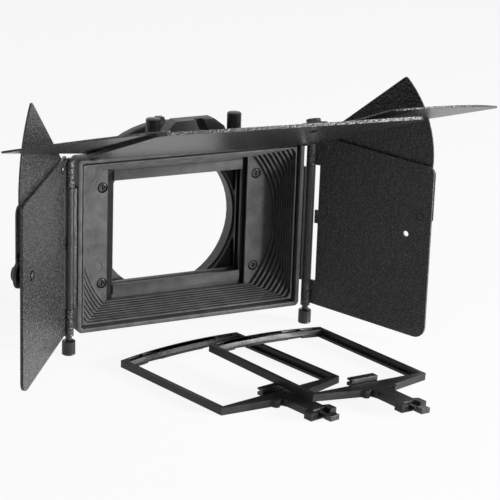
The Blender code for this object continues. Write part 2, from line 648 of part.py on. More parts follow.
def build_ring(stage_rear):
    """The rear ring that grips the lens, with its boss and clamp screw."""
    front = stage_rear + GAP
    step = front + RING_NECK_LENGTH
    rear = step + RING_FLANGE_LENGTH
    segments = RING_SEGMENTS
    rings = []
    for r, y in ((RING_BORE_RADIUS, front), (RING_NECK_RADIUS, front),
                 (RING_NECK_RADIUS, step), (RING_OUTER_RADIUS - 0.0008, step),
                 (RING_OUTER_RADIUS, step + 0.0008), (RING_OUTER_RADIUS, rear),
                 (RING_BORE_RADIUS, rear)):
        rings.append([(r * cos(2 * pi * i / segments), y, r * sin(2 * pi * i / segments))
                      for i in range(segments)])
    ring = ring_stack("lens_ring", rings, RING_PLASTIC, closed_loop=True)
    half = RING_BOSS_WIDTH / 2
    boss = prism("ring_boss", [(RING_BOSS_X - half, RING_OUTER_RADIUS - 0.003),
                               (RING_BOSS_X + half, RING_OUTER_RADIUS - 0.003),
                               (RING_BOSS_X + half * 0.5, RING_OUTER_RADIUS + RING_BOSS_HEIGHT),
                               (RING_BOSS_X - half * 0.5, RING_OUTER_RADIUS + RING_BOSS_HEIGHT)],
                 step + 0.0006, rear - 0.0006, None, axis="y")
    join(ring, boss)
    middle = (step + rear) / 2
    lug = turned("ring_clamp_lug", [(CLAMP_BOSS_RADIUS - 0.0008, RING_OUTER_RADIUS - 0.004),
                                    (CLAMP_BOSS_RADIUS - 0.0008,
                                     RING_OUTER_RADIUS + CLAMP_BOSS_LENGTH)],
                 None, 20, along((0, middle, 0), (-1, 0, 0)))
    join(ring, lug)
    bore = turned("ring_clamp_bore", [(CLAMP_STEM_RADIUS + GAP, RING_BORE_RADIUS - 0.004),
                                      (CLAMP_STEM_RADIUS + GAP, RING_OUTER_RADIUS + 0.02)],
                  None, 16, along((0, middle, 0), (-1, 0, 0)))
    cut(ring, bore)
    for k in range(RING_SCREW_COUNT):
        a = radians(RING_SCREW_ANGLE + 90 * k)
        spot = (RING_SCREW_CIRCLE * cos(a), rear, RING_SCREW_CIRCLE * sin(a))
        seat = RING_SCREW_HEAD_THICKNESS + 0.0004
        tool = turned("ring_screw_hole_%d" % k,
                      [(RING_SCREW_HOLE_RADIUS, -0.020), (RING_SCREW_HOLE_RADIUS, -seat),
                       (RING_SCREW_HEAD_RADIUS + GAP, -seat),
                       (RING_SCREW_HEAD_RADIUS + GAP, 0.002)], None, 16,
                      along(spot, (0, 1, 0)))
        cut(ring, tool)
        frame = along((spot[0], rear - 0.0003, spot[2]), (0, 1, 0))
        screw = turned("ring_screw_%d" % (k + 1),
                       [(RING_SCREW_RADIUS, -RING_SCREW_LENGTH),
                        (RING_SCREW_RADIUS, -RING_SCREW_HEAD_THICKNESS),
                        (RING_SCREW_HEAD_RADIUS, -RING_SCREW_HEAD_THICKNESS),
                        (RING_SCREW_HEAD_RADIUS, -0.0003),
                        (RING_SCREW_HEAD_RADIUS - 0.0003, 0.0)], SCREW_STEEL, 14, frame)
        cross_recess(screw, frame, 0.0006, 0.0012)
        smooth_round(screw)
    smooth_round(ring, 25.0)
    stem_in = RING_BORE_RADIUS + 0.0008
    knob_in = RING_OUTER_RADIUS + CLAMP_BOSS_LENGTH + GAP
    clamp = turned("ring_clamp_screw",
                   [(CLAMP_STEM_RADIUS, stem_in), (CLAMP_STEM_RADIUS, knob_in),
                    (CLAMP_KNOB_RADIUS - 0.0006, knob_in),
                    (CLAMP_KNOB_RADIUS, knob_in + 0.0006),
                    (CLAMP_KNOB_RADIUS, knob_in + CLAMP_KNOB_LENGTH - 0.0006),
                    (CLAMP_KNOB_RADIUS - 0.0006, knob_in + CLAMP_KNOB_LENGTH)],
                   KNOB_METAL, 2 * KNOB_TEETH, along((0, middle, 0), (-1, 0, 0)),
                   teeth=1, tooth=0.0003, toothed=(3, 4))
    smooth_round(clamp, 12.0)
    return rear


def side_frame(side):
    """A side flag's own frame: x toward its free end, y outward, z up."""
    swing = radians(SIDE_SWING_LEFT if side < 0 else SIDE_SWING_RIGHT)
    reach = (side * sin(swing), -cos(swing), 0)
    outward = (side * cos(swing), sin(swing), 0)
    return placed((side * HINGE_X, HINGE_Y, 0), reach, outward, (0, 0, 1))


def wing_outline(pivot, radius, start, end, margin, rounding):
    """A fan-shaped wing about its pivot, its two straight edges set out by a margin."""
    spread = degrees(asin(margin / radius))
    a0, a1 = radians(start), radians(end)
    points = []
    radii = []
    arc = 12
    for k in range(arc + 1):
        a = a0 + (a1 - a0) * k / arc
        points.append((pivot[0] + radius * cos(a), pivot[1] + radius * sin(a)))
        radii.append(rounding if k in (0, arc) else 0)
    upper = radians(end - spread + 90)
    lower = radians(start + spread - 90)
    turn = (lower - upper) % (2 * pi)
    back = 8
    for k in range(back + 1):
        a = upper + turn * k / back
        points.append((pivot[0] + margin * cos(a), pivot[1] + margin * sin(a)))
        radii.append(0)
    return rounded(points, radii, 3)


def fasteners(label, frame, point, low, wing_top, stud, collar=0.0):
    """A headed pin through the sheets at a point, or a stud with its thumb nut."""
    spot = frame @ Matrix.Translation((point[0], 0, point[1]))
    spot = spot @ Matrix.Rotation(radians(-90), 4, "X")
    if stud:
        top = wing_top + GAP + collar + WHEEL_THICKNESS + CROWN_HEIGHT
        pin = turned("stud_" + label,
                     [(STUD_HEAD_RADIUS - 0.0004, low - GAP - STUD_HEAD_THICKNESS),
                      (STUD_HEAD_RADIUS, low - GAP - 0.0003),
                      (STUD_HEAD_RADIUS, low - GAP), (STUD_RADIUS, low - GAP),
                      (STUD_RADIUS, top)], SCREW_STEEL, 16, spot)
        smooth_round(pin)
        foot = wing_top + GAP
        base = foot + collar
        bore = STUD_RADIUS + GAP
        rings = []
        profile = [(bore, foot)]
        if collar > 0:
            profile += [(COLLAR_RADIUS, foot), (COLLAR_RADIUS, base)]
        profile += [(WHEEL_RADIUS - 0.0004, base), (WHEEL_RADIUS, base + 0.0004),
                    (WHEEL_RADIUS, base + WHEEL_THICKNESS - 0.0004),
                    (WHEEL_RADIUS - 0.0004, base + WHEEL_THICKNESS),
                    (CROWN_RADIUS, base + WHEEL_THICKNESS),
                    (CROWN_RADIUS, base + WHEEL_THICKNESS + CROWN_HEIGHT),
                    (bore, base + WHEEL_THICKNESS + CROWN_HEIGHT)]
        count = 2 * NUT_TEETH
        for k, (r, h) in enumerate(profile):
            ring = []
            for i in range(count):
                rr = r - (0.0004 if r == WHEEL_RADIUS and i % 2 else 0)
                a = 2 * pi * i / count
                ring.append((rr * cos(a), rr * sin(a), h))
            rings.append(ring)
        nut = ring_stack("thumb_nut_" + label, rings, KNOB_METAL, closed_loop=True, place=spot)
        smooth_round(nut, 14.0)
        return pin, nut
    pin = turned("wing_pivot_" + label,
                 [(STUD_HEAD_RADIUS - 0.0006, low - GAP - STUD_HEAD_THICKNESS),
                  (STUD_HEAD_RADIUS, low - GAP), (STUD_RADIUS, low - GAP),
                  (STUD_RADIUS, wing_top + GAP), (PIVOT_HEAD_RADIUS, wing_top + GAP),
                  (PIVOT_HEAD_RADIUS, wing_top + GAP + 0.0004),
                  (PIVOT_HEAD_RADIUS - 0.0008, wing_top + GAP + PIVOT_HEAD_THICKNESS)],
                 SCREW_STEEL, 16, spot)
    smooth_round(pin)
    return pin, None


def hole_tool(name, frame, point, radius, low, high):
    """A round hole tool square to a sheet."""
    spot = frame @ Matrix.Translation((point[0], 0, point[1]))
    spot = spot @ Matrix.Rotation(radians(-90), 4, "X")
    return turned(name, [(radius, low), (radius, high)], None, 16, spot)


def build_side(side):
    """One side flag with its hinge, wing and fasteners."""
    label = "left" if side < 0 else "right"
    axis = Matrix.Translation((side * HINGE_X, HINGE_Y, 0))

    # The fixed half of the hinge: a long barrel on a leaf screwed to the hood.
    barrel = tube("hinge_leaf_" + label, PIN_BORE_RADIUS, BARREL_RADIUS, -BARREL_HALF_LENGTH,
                  BARREL_HALF_LENGTH, HINGE_STEEL, 20, axis)
    inner = HOOD_HALF_WIDTH + GAP
    xs = sorted((side * inner, side * (inner + LEAF_THICKNESS)))
    leaf = box("leaf_plate_" + label, (xs[0], HINGE_Y, -LEAF_HALF_HEIGHT),
               (xs[1], HINGE_Y + LEAF_DEPTH, LEAF_HALF_HEIGHT), None)
    xs = sorted((side * (inner + 0.0004), side * (HINGE_X - PIN_BORE_RADIUS - 0.0004)))
    web = box("leaf_web_" + label, (xs[0], HINGE_Y - 0.0006, -LEAF_HALF_HEIGHT),
              (xs[1], HINGE_Y + 0.0010, LEAF_HALF_HEIGHT), None)
    join(barrel, leaf)
    join(barrel, web)
    for k, z in enumerate((-LEAF_SCREW_Z, LEAF_SCREW_Z)):
        y = HINGE_Y + LEAF_SCREW_Y
        tool = turned("leaf_hole_%s_%d" % (label, k),
                      [(LEAF_SCREW_HOLE_RADIUS, -0.006), (LEAF_SCREW_HOLE_RADIUS, 0.002)],
                      None, 12, along((side * (inner + LEAF_THICKNESS), y, z), (side, 0, 0)))
        cut(barrel, tool)
        frame = along((side * (inner + LEAF_THICKNESS + GAP + 0.0009), y, z), (side, 0, 0))
        screw = turned("leaf_screw_%s_%s" % (label, "lower" if z < 0 else "upper"),
                       [(0.0008, -0.0056), (0.0008, -0.0009), (LEAF_SCREW_RADIUS, -0.0009),
                        (LEAF_SCREW_RADIUS, -0.0003), (LEAF_SCREW_RADIUS - 0.0005, 0.0)],
                       SCREW_STEEL, 14, frame)
        cross_recess(screw, frame, 0.0005, 0.0010)
        smooth_round(screw)
    smooth_round(barrel, 30.0)

    # The rod through the barrels, with its head above and its neck below.
    pin = turned("hinge_pin_" + label,
                 [(PIN_THREAD_RADIUS, KNOB_BOTTOM_Z + 0.0012), (PIN_THREAD_RADIUS, KNOB_TOP_Z + GAP),
                  (PIN_NECK_RADIUS, KNOB_TOP_Z + GAP),
                  (PIN_NECK_RADIUS, KNUCKLE_BOTTOM_Z - GAP),
                  (PIN_RADIUS, KNUCKLE_BOTTOM_Z - GAP), (PIN_RADIUS, KNUCKLE_TOP_Z + GAP),
                  (PIN_HEAD_RADIUS, KNUCKLE_TOP_Z + GAP),
                  (PIN_HEAD_RADIUS, KNUCKLE_TOP_Z + GAP + PIN_HEAD_HEIGHT - 0.0004),
                  (PIN_HEAD_RADIUS - 0.0005, KNUCKLE_TOP_Z + GAP + PIN_HEAD_HEIGHT)],
                 PIN_STEEL, 18, axis)
    smooth_round(pin)
    blind = KNOB_BOTTOM_Z + 0.0008
    knob = turned("hinge_knob_" + label,
                  [(KNOB_RADIUS - 0.0008, KNOB_BOTTOM_Z), (KNOB_RADIUS, KNOB_BOTTOM_Z + 0.0008),
                   (KNOB_RADIUS, KNOB_TOP_Z - 0.0006), (KNOB_RADIUS - 0.0005, KNOB_TOP_Z)],
                  KNOB_METAL, 2 * KNOB_TEETH, axis, teeth=1, tooth=0.0003, toothed=(1, 2))
    bore = turned("hinge_knob_bore_" + label,
                  [(PIN_THREAD_RADIUS + GAP, blind), (PIN_THREAD_RADIUS + GAP, KNOB_TOP_Z + 0.002)],
                  None, 16, axis)
    cut(knob, bore)
    smooth_round(knob, 12.0)

    # The flag sheet with its two knuckles and its middle tab.
    frame = side_frame(side)
    if side < 0:
        frame = placed(frame.translation, frame.col[0].xyz, frame.col[1].xyz, (0, 0, 1))
    low, high = SIDE_OFFSET, SIDE_OFFSET + SHEET_THICKNESS
    knuckle_low = BARREL_HALF_LENGTH + GAP

    def edge_z(s, root, tip):
        return root + (tip - root) * s / SIDE_REACH

    head_edge = PIN_HEAD_RADIUS + GAP
    outline = [(head_edge, edge_z(head_edge, SIDE_TOP_ROOT_Z, SIDE_TOP_TIP_Z)),
               (head_edge, KNUCKLE_TOP_Z), (0.0, KNUCKLE_TOP_Z),
               (0.0, knuckle_low), (SIDE_INNER_EDGE, knuckle_low),
               (SIDE_INNER_EDGE, SIDE_TAB_TOP), (SIDE_TAB_EDGE, SIDE_TAB_TOP),
               (SIDE_TAB_EDGE, SIDE_TAB_BOTTOM), (SIDE_INNER_EDGE, SIDE_TAB_BOTTOM),
               (SIDE_INNER_EDGE, -knuckle_low), (0.0, -knuckle_low),
               (0.0, edge_z(0.0, SIDE_BOTTOM_ROOT_Z, SIDE_BOTTOM_TIP_Z)),
               (SIDE_REACH, SIDE_BOTTOM_TIP_Z), (SIDE_REACH, SIDE_TOP_TIP_Z)]
    radii = [0] * 12 + [SIDE_CORNER_RADIUS, SIDE_CORNER_RADIUS * 0.6]
    panel = prism("side_flag_" + label, rounded(outline, radii, 5), low, high, FLAG_COAT,
                  axis="y", place=frame)
    for part, z0, z1 in (("top", knuckle_low, KNUCKLE_TOP_Z),
                         ("bottom", KNUCKLE_BOTTOM_Z, -knuckle_low)):
        knuckle = turned("knuckle_%s_%s" % (part, label), [(BARREL_RADIUS, z0), (BARREL_RADIUS, z1)],
                         None, 20, axis)
        join(panel, knuckle)
    rod = turned("knuckle_bore_" + label, [(PIN_BORE_RADIUS, -0.07), (PIN_BORE_RADIUS, 0.07)],
                 None, 20, axis)
    cut(panel, rod)
    pivot = SIDE_WING_PIVOT
    hole_radius = STUD_RADIUS + GAP
    cut(panel, hole_tool("pivot_hole_" + label, frame, pivot, hole_radius, low - 0.002,
                         high + 0.002))
    cut(panel, hole_tool("stud_hole_" + label, frame, STUD_POINT, hole_radius, low - 0.002,
                         high + 0.002))
    cut(panel, hole_tool("spare_hole_" + label, frame, SPARE_HOLE_POINT, SPARE_HOLE_RADIUS,
                         low - 0.002, high + 0.002))
    smooth_round(panel, 30.0)

    # The fan-shaped wing on the outer face, turning on its own pivot.
    wing_low = high + SHEET_GAP
    wing_high = wing_low + WING_THICKNESS
    home = frame @ Matrix.Translation((pivot[0], 0, pivot[1]))
    local = [(p[0] - pivot[0], p[1] - pivot[1]) for p in
             wing_outline(pivot, SIDE_WING_RADIUS, SIDE_WING_FROM, SIDE_WING_TO,
                          SIDE_WING_MARGIN, SIDE_WING_CORNER_RADIUS)]
    wing = prism("side_wing_" + label, local, wing_low, wing_high, FLAG_COAT, axis="y",
                 place=home)
    cut(wing, hole_tool("wing_hole_" + label, frame, pivot, hole_radius, wing_low - 0.002,
                        wing_high + 0.002))
    smooth_round(wing, 30.0)
    fasteners("side_" + label, frame, pivot, low, wing_high, False)
    if side < 0:
        fasteners("side_" + label, frame, STUD_POINT, low, high, True, COLLAR_HEIGHT)

    # The guide plate that keeps the wing's lower corner down, its boss in the upper hole.
    guide_low = wing_high + SHEET_GAP
    outline = [(GUIDE_INNER, GUIDE_BOTTOM_Z), (GUIDE_OUTER, GUIDE_BOTTOM_Z),
               (GUIDE_OUTER, GUIDE_TOP_Z), (GUIDE_INNER, GUIDE_TOP_Z)]
    guide = prism("wing_guide_" + label,
                  rounded(outline, [0.001, 0.001, GUIDE_CORNER_RADIUS, 0.002], 5),
                  guide_low, guide_low + GUIDE_THICKNESS, FLAG_COAT, axis="y", place=frame)
    boss_radius = SPARE_HOLE_RADIUS - GAP
    join(guide, hole_tool("guide_boss_" + label, frame, SPARE_HOLE_POINT, boss_radius, low,
                          guide_low + GUIDE_THICKNESS * 0.5))
    smooth_round(guide, 30.0)


def top_frame():
    """The top flag's own frame: x across, z toward its free end, y up off its face."""
    tilt, roll = radians(TOP_TILT), radians(TOP_ROLL)
    across = Vector((1, 0, 0))
    reach = Vector((0, -cos(tilt), sin(tilt)))
    off = Vector((0, sin(tilt), cos(tilt)))
    turn = Matrix.Rotation(roll, 3, "Y")
    return placed((0, TOP_PLANE_Y, TOP_PLANE_Z), turn @ across, turn @ off, turn @ reach)


def build_top():
    """The top flag, its hinge, bracket, wings and fasteners."""
    # Bracket on the hood's top with the raised block between two thumb screws.
    base = HOOD_HALF_HEIGHT + GAP
    shoulder = BRACKET_BASE_TOP_Z
    outline = [(-BRACKET_HALF_WIDTH, base), (BRACKET_HALF_WIDTH, base),
               (BRACKET_HALF_WIDTH, shoulder), (BLOCK_FOOT_HALF_WIDTH, shoulder)]
    outline += [(x, shoulder + rise) for x, rise in BLOCK_RIGHT_EDGE + BLOCK_LEFT_EDGE]
    outline += [(-BLOCK_FOOT_HALF_WIDTH, shoulder), (-BRACKET_HALF_WIDTH, shoulder)]
    bracket = prism("top_bracket", outline, BRACKET_FRONT_Y, BRACKET_REAR_Y, BRACKET_METAL,
                    axis="y")
    slot_top = shoulder + BLOCK_TOP_HEIGHT + 0.0022
    slot_foot = shoulder + BLOCK_SLOT_RISE
    slot = prism("bracket_slot", [(BLOCK_SLOT_TOP[0], slot_top), (BLOCK_SLOT_TOP[1], slot_top),
                                  (BLOCK_SLOT_FOOT[1], slot_foot),
                                  (BLOCK_SLOT_FOOT[0], slot_foot)],
                 BRACKET_FRONT_Y - 0.004, BRACKET_FRONT_Y + BLOCK_SLOT_DEPTH, None, axis="y")
    cut(bracket, slot)
    for k, sx in enumerate((-1, 1)):
        tool = turned("bracket_screw_hole_%d" % k,
                      [(THUMB_SHANK_RADIUS + GAP, HOOD_HALF_HEIGHT - 0.01),
                       (THUMB_SHANK_RADIUS + GAP, THUMB_TOP_Z)],
                      None, 16, Matrix.Translation((sx * THUMB_X, THUMB_Y, 0)))
        cut(bracket, tool)
    wide = TOP_KNUCKLE_RADIUS + CHANNEL_CLEARANCE
    end = BRACKET_HALF_WIDTH - CHANNEL_SHOULDER
    channel = turned("bracket_channel",
                     [(wide, -end - 0.02), (wide, -end), (PIN_RADIUS + GAP, -end),
                      (PIN_RADIUS + GAP, end), (wide, end), (wide, end + 0.02)],
                     None, 20, along((0, TOP_HINGE_Y, TOP_HINGE_Z), (1, 0, 0)))
    cut(bracket, channel)
    smooth_round(bracket, 30.0)
    for label, sx in (("left", -1), ("right", 1)):
        thumb = turned("thumb_screw_" + label,
                       [(THUMB_SHANK_RADIUS, THUMB_SHANK_END_Z), (THUMB_SHANK_RADIUS, THUMB_BOTTOM_Z),
                        (THUMB_RADIUS - 0.0004, THUMB_BOTTOM_Z),
                        (THUMB_RADIUS, THUMB_BOTTOM_Z + 0.0004),
                        (THUMB_RADIUS, THUMB_TOP_Z - 0.0008), (THUMB_RADIUS - 0.0006, THUMB_TOP_Z)],
                       KNOB_METAL, 2 * KNOB_TEETH,
                       Matrix.Translation((sx * THUMB_X, THUMB_Y, 0)),
                       teeth=1, tooth=0.0003, toothed=(3, 4))
        smooth_round(thumb, 12.0)

    # The flag sheet.
    frame = top_frame()
    low, high = 0.0, SHEET_THICKNESS
    outline = [(-TOP_HALF_WIDTH_REAR, TOP_REAR_EDGE), (TOP_HALF_WIDTH_REAR, TOP_REAR_EDGE),
               (TOP_HALF_WIDTH_FRONT, TOP_LENGTH), (-TOP_HALF_WIDTH_FRONT, TOP_LENGTH)]
    panel = prism("top_flag", rounded(outline, [0.002, 0.002, TOP_CORNER_RADIUS,
                                                TOP_CORNER_RADIUS], 5),
                  low, high, FLAG_COAT, axis="y", place=frame)
    hinge_y, hinge_z = TOP_HINGE_Y, TOP_HINGE_Z
    for label, sx in (("left", -1), ("right", 1)):
        x0, x1 = sorted((sx * TOP_KNUCKLE_IN, sx * TOP_KNUCKLE_OUT))
        knuckle = turned("top_knuckle_" + label, [(TOP_KNUCKLE_RADIUS, x0), (TOP_KNUCKLE_RADIUS, x1)],
                         None, 20, along((0, hinge_y, hinge_z), (1, 0, 0)))
        x0, x1 = sorted((sx * TOP_EAR_IN, sx * TOP_EAR_OUT))
        ear = prism("top_ear_" + label,
                    [(hinge_y + y, hinge_z + z) for y, z in TOP_EAR_OUTLINE],
                    x0, x1, None, axis="x")
        join(panel, ear)
        join(panel, knuckle)
    bore = turned("top_knuckle_bore", [(PIN_BORE_RADIUS, -0.08), (PIN_BORE_RADIUS, 0.08)], None,
                  16, along((0, hinge_y, hinge_z), (1, 0, 0)))
    cut(panel, bore)
    hole_radius = STUD_RADIUS + GAP
    for label, sx in (("left", -1), ("right", 1)):
        pivot = (sx * TOP_WING_PIVOT[0], TOP_WING_PIVOT[1])
        cut(panel, hole_tool("top_pivot_hole_" + label, frame, pivot, hole_radius, -0.003, 0.006))
    cut(panel, hole_tool("top_stud_hole", frame, TOP_STUD_POINT, hole_radius, -0.003, 0.006))
    set_origin(panel, (0, hinge_y, hinge_z))
    smooth_round(panel, 30.0)
    pin = turned("top_hinge_pin",
                 [(PIN_HEAD_RADIUS, -TOP_KNUCKLE_OUT - GAP - 0.0012),
                  (PIN_HEAD_RADIUS, -TOP_KNUCKLE_OUT - GAP), (PIN_RADIUS, -TOP_KNUCKLE_OUT - GAP),
                  (PIN_RADIUS, TOP_KNUCKLE_OUT + GAP), (PIN_HEAD_RADIUS, TOP_KNUCKLE_OUT + GAP),
                  (PIN_HEAD_RADIUS, TOP_KNUCKLE_OUT + GAP + 0.0012)],
                 PIN_STEEL, 14, along((0, hinge_y, hinge_z), (1, 0, 0)))
    smooth_round(pin)

    # The two wings, each on a washer and a little out of the flag's plane.
    for label, sx in (("left", -1), ("right", 1)):
        pivot = (sx * TOP_WING_PIVOT[0], TOP_WING_PIVOT[1])
        radius, lift, pitch, roll, turn = TOP_WING_RIDE[label]
        points = wing_outline((0, 0), radius, TOP_WING_FROM + turn, TOP_WING_TO + turn,
                              TOP_WING_MARGIN, TOP_WING_CORNER_RADIUS)
        points = [(sx * p[0], p[1]) for p in points]
        home = frame @ Matrix.Translation((pivot[0], high, pivot[1]))
        wing_low = SHEET_GAP
        washer = tube("top_wing_washer_" + label, STUD_RADIUS + GAP, WASHER_RADIUS, GAP,
                      lift - 0.0002, SCREW_STEEL, 18, home @ Matrix.Rotation(radians(-90), 4, "X"))
        smooth_round(washer)
        home = home @ Matrix.Translation((0, lift, 0))
        home = home @ Matrix.Rotation(radians(pitch), 4, "X") @ Matrix.Rotation(radians(roll), 4, "Z")
        wing = prism("top_wing_" + label, points, wing_low, wing_low + WING_THICKNESS,
                     FLAG_COAT, axis="y", place=home)
        tool = turned("top_wing_hole_" + label, [(hole_radius + 0.0002, -0.003),
                                                 (hole_radius + 0.0002, 0.006)],
                      None, 16, home @ Matrix.Rotation(radians(-90), 4, "X"))
        cut(wing, tool)
        smooth_round(wing, 30.0)
        wing_top = high + lift + wing_low + WING_THICKNESS + 0.0002
        fasteners("top_" + label, frame, pivot, low, wing_top, False)
    fasteners("top_right", frame, TOP_STUD_POINT, low, high, True)


def tray_outline():
    """The tray's outer outline with its bowed far rail and its handle."""
    points = []
    far = 14
    for k in range(far + 1):
        t = -1 + 2 * k / far
        points.append((-t * TRAY_HALF_WIDTH, TRAY_HALF_LENGTH + TRAY_BOW * (1 - t * t)))
    w, s, b = TRAY_HALF_WIDTH, TRAY_STEM_HALF_WIDTH, TRAY_BLOCK_HALF_WIDTH
    left = [(-w, -TRAY_HALF_LENGTH), (-0.0120, -0.0492), (-0.0112, -0.0518), (-0.0090, -0.0524),
            (-0.0078, -0.0508), (-0.0064, -0.0510), (-s, -0.0542), (-s, TRAY_STEM_END),
            (-b, TRAY_STEM_END - 0.0012), (-b, TRAY_BLOCK_END)]
    points += left
    points += [(-x, y) for x, y in reversed(left)]
    return points


def build_tray(label, home):
    """A filter tray with its spring-loaded latch slider in the handle."""
    top = TRAY_THICKNESS
    tray = prism("tray_" + label, tray_outline(), 0.0, top, TRAY_PLASTIC, place=home)
    arc = 8
    far_edge = []
    for k in range(arc + 1):
        t = -1 + 2 * k / arc
        far_edge.append((-t * TRAY_RECESS_HALF_WIDTH, TRAY_FAR_INNER + TRAY_FAR_BOW * (1 - t * t)))
    recess = far_edge + [(-TRAY_RECESS_HALF_WIDTH, TRAY_NEAR_INNER),
                         (TRAY_RECESS_HALF_WIDTH, TRAY_NEAR_INNER)]
    lean_x = 1 + TRAY_DRAFT / TRAY_RECESS_HALF_WIDTH
    lean_y = 1 + TRAY_DRAFT / TRAY_FAR_INNER
    cut(tray, ring_stack("tray_recess_" + label,
                         [[(x, y, TRAY_LEDGE) for x, y in recess],
                          [(x * lean_x, y * lean_y, top + 0.002) for x, y in recess]],
                         None, place=home))
    scale = TRAY_WINDOW_HALF_WIDTH / TRAY_RECESS_HALF_WIDTH
    window = [(x * scale, y - 0.0003) for x, y in far_edge]
    window += [(-TRAY_WINDOW_HALF_WIDTH, TRAY_NEAR_LEDGE), (TRAY_WINDOW_HALF_WIDTH, TRAY_NEAR_LEDGE)]
    cut(tray, prism("tray_window_" + label, window, -0.002, top + 0.002, None, place=home))
    pockets = ((0.0365, 0.0262), (0.0250, 0.0136), (0.0124, 0.0006),
               (-0.0006, -0.0124), (-0.0136, -0.0250), (-0.0262, -0.0365))
    for k, (x0, x1) in enumerate(pockets):
        def far(x, inset):
            return TRAY_HALF_LENGTH + TRAY_BOW * (1 - (x / TRAY_HALF_WIDTH) ** 2) - inset

        def near(x, inset):
            return TRAY_FAR_INNER + TRAY_FAR_BOW * (1 - (x / TRAY_RECESS_HALF_WIDTH) ** 2) + inset
        pocket = [(x0, near(x0, 0.0010)), (x0, far(x0, 0.0011)), (x1, far(x1, 0.0011)),
                  (x1, near(x1, 0.0010))]
        cut(tray, prism("tray_pocket_%s_%d" % (label, k), pocket, top - POCKET_DEPTH, top + 0.002,
                        None, place=home))
    for k, x in enumerate((-0.0198, 0.0198)):
        notch = box("tray_notch_%s_%d" % (label, k), (x - 0.0050, 0.0360, -0.002),
                    (x + 0.0050, 0.0416, top - POCKET_DEPTH - 0.0002), None, home)
        cut(tray, notch)
    bore = box("tray_bore_" + label, (-BORE_HALF_WIDTH, -0.09, BORE_LOW),
               (BORE_HALF_WIDTH, -0.036, BORE_HIGH), None, home)
    cut(tray, bore)
    chamber = box("tray_chamber_" + label,
                  (-SPRING_CHAMBER_HALF_WIDTH, SPRING_CHAMBER[0], 0.0004),
                  (SPRING_CHAMBER_HALF_WIDTH, SPRING_CHAMBER[1], 0.0036), None, home)
    cut(tray, chamber)
    mouth_half = LATCH_TIP_HALF_WIDTH + MOUTH_CLEARANCE
    mouth = box("tray_mouth_" + label, (-mouth_half, LATCH_TIP_END - 0.005, BORE_LOW - GAP),
                (mouth_half, TRAY_STEM_END - MOUTH_DEPTH, top + 0.002), None, home)
    cut(tray, mouth)
    smooth_round(tray, 25.0)

    # The latch: a wide head inside the window, a rod and a finger tip.
    z0, z1 = BORE_LOW + GAP, BORE_HIGH - GAP
    half = BORE_HALF_WIDTH - GAP
    neck = LATCH_NECK_HALF_WIDTH
    tip = LATCH_TIP_HALF_WIDTH
    rod = [(-half, LATCH_HEAD_NEAR + LATCH_LIP), (-half, SPRING_CHAMBER[1]),
           (-neck, SPRING_CHAMBER[1]), (-neck, SPRING_CHAMBER[0]), (-half, SPRING_CHAMBER[0]),
           (-half, LATCH_TIP_START + LATCH_TAPER), (-tip, LATCH_TIP_START), (-tip, LATCH_TIP_END)]
    outline = rod + [(-x, y) for x, y in reversed(rod)]
    latch = prism("latch_" + label, outline, z0, z1, LATCH_PLASTIC, place=home)
    head = box("latch_head_" + label, (-LATCH_HEAD_HALF_WIDTH, LATCH_HEAD_NEAR, TRAY_LEDGE + GAP),
               (LATCH_HEAD_HALF_WIDTH, LATCH_HEAD_FAR, LATCH_HEAD_TOP), None, home)
    join(latch, head)
    lip = box("latch_lip_" + label,
              (-LATCH_HEAD_HALF_WIDTH - 0.001, LATCH_HEAD_FAR - LATCH_LIP_DEPTH,
               z1 + LATCH_LIP_RISE),
              (LATCH_HEAD_HALF_WIDTH + 0.001, LATCH_HEAD_FAR + 0.002,
               LATCH_HEAD_TOP - LATCH_LIP_THICKNESS), None, home)
    cut(latch, lip)
    grip = box("latch_grip_" + label, (-tip, LATCH_TIP_END, z0),
               (tip, LATCH_TIP_START - LATCH_TAPER, LATCH_HEAD_TOP - LATCH_GRIP_DROP), None, home)
    join(latch, grip)
    smooth_round(latch, 25.0)

    # The coil spring around the rod's neck.
    sides, per_turn = 5, 10
    total = SPRING_TURNS * per_turn
    start, end = SPRING_CHAMBER[0] + 0.0005, SPRING_CHAMBER[1] - 0.0005
    middle = (BORE_LOW + BORE_HIGH) / 2
    rings = []
    for i in range(total + 1):
        a = 2 * pi * i / per_turn
        y = start + (end - start) * i / total
        ring = []
        for k in range(sides):
            b = 2 * pi * k / sides
            r = SPRING_MEAN_RADIUS + SPRING_WIRE_RADIUS * cos(b)
            ring.append((r * cos(a), y + SPRING_WIRE_RADIUS * sin(b), middle + r * sin(a)))
        rings.append(ring)
    spring = ring_stack("latch_spring_" + label, rings, SPRING_STEEL, place=home)
    smooth_round(spring, 60.0)


def tray_homes():
    """Where the two trays lie: A flat on the ground, B with one edge on A."""
    ground = KNOB_BOTTOM_Z
    flat = (Matrix.Translation((TRAY_A_CENTRE[0], TRAY_A_CENTRE[1], ground))
            @ Matrix.Rotation(radians(TRAY_A_TURN), 4, "Z"))
    leaning = (Matrix.Translation((TRAY_B_CENTRE[0], TRAY_B_CENTRE[1], TRAY_B_TOP_Z))
               @ Matrix.Rotation(radians(TRAY_B_TURN), 4, "Z")
               @ Matrix.Rotation(radians(TRAY_B_TILT), 4, "Y")
               @ Matrix.Rotation(radians(TRAY_B_PITCH), 4, "X")
               @ Matrix.Translation((0, 0, -TRAY_THICKNESS)))
    return flat, leaning


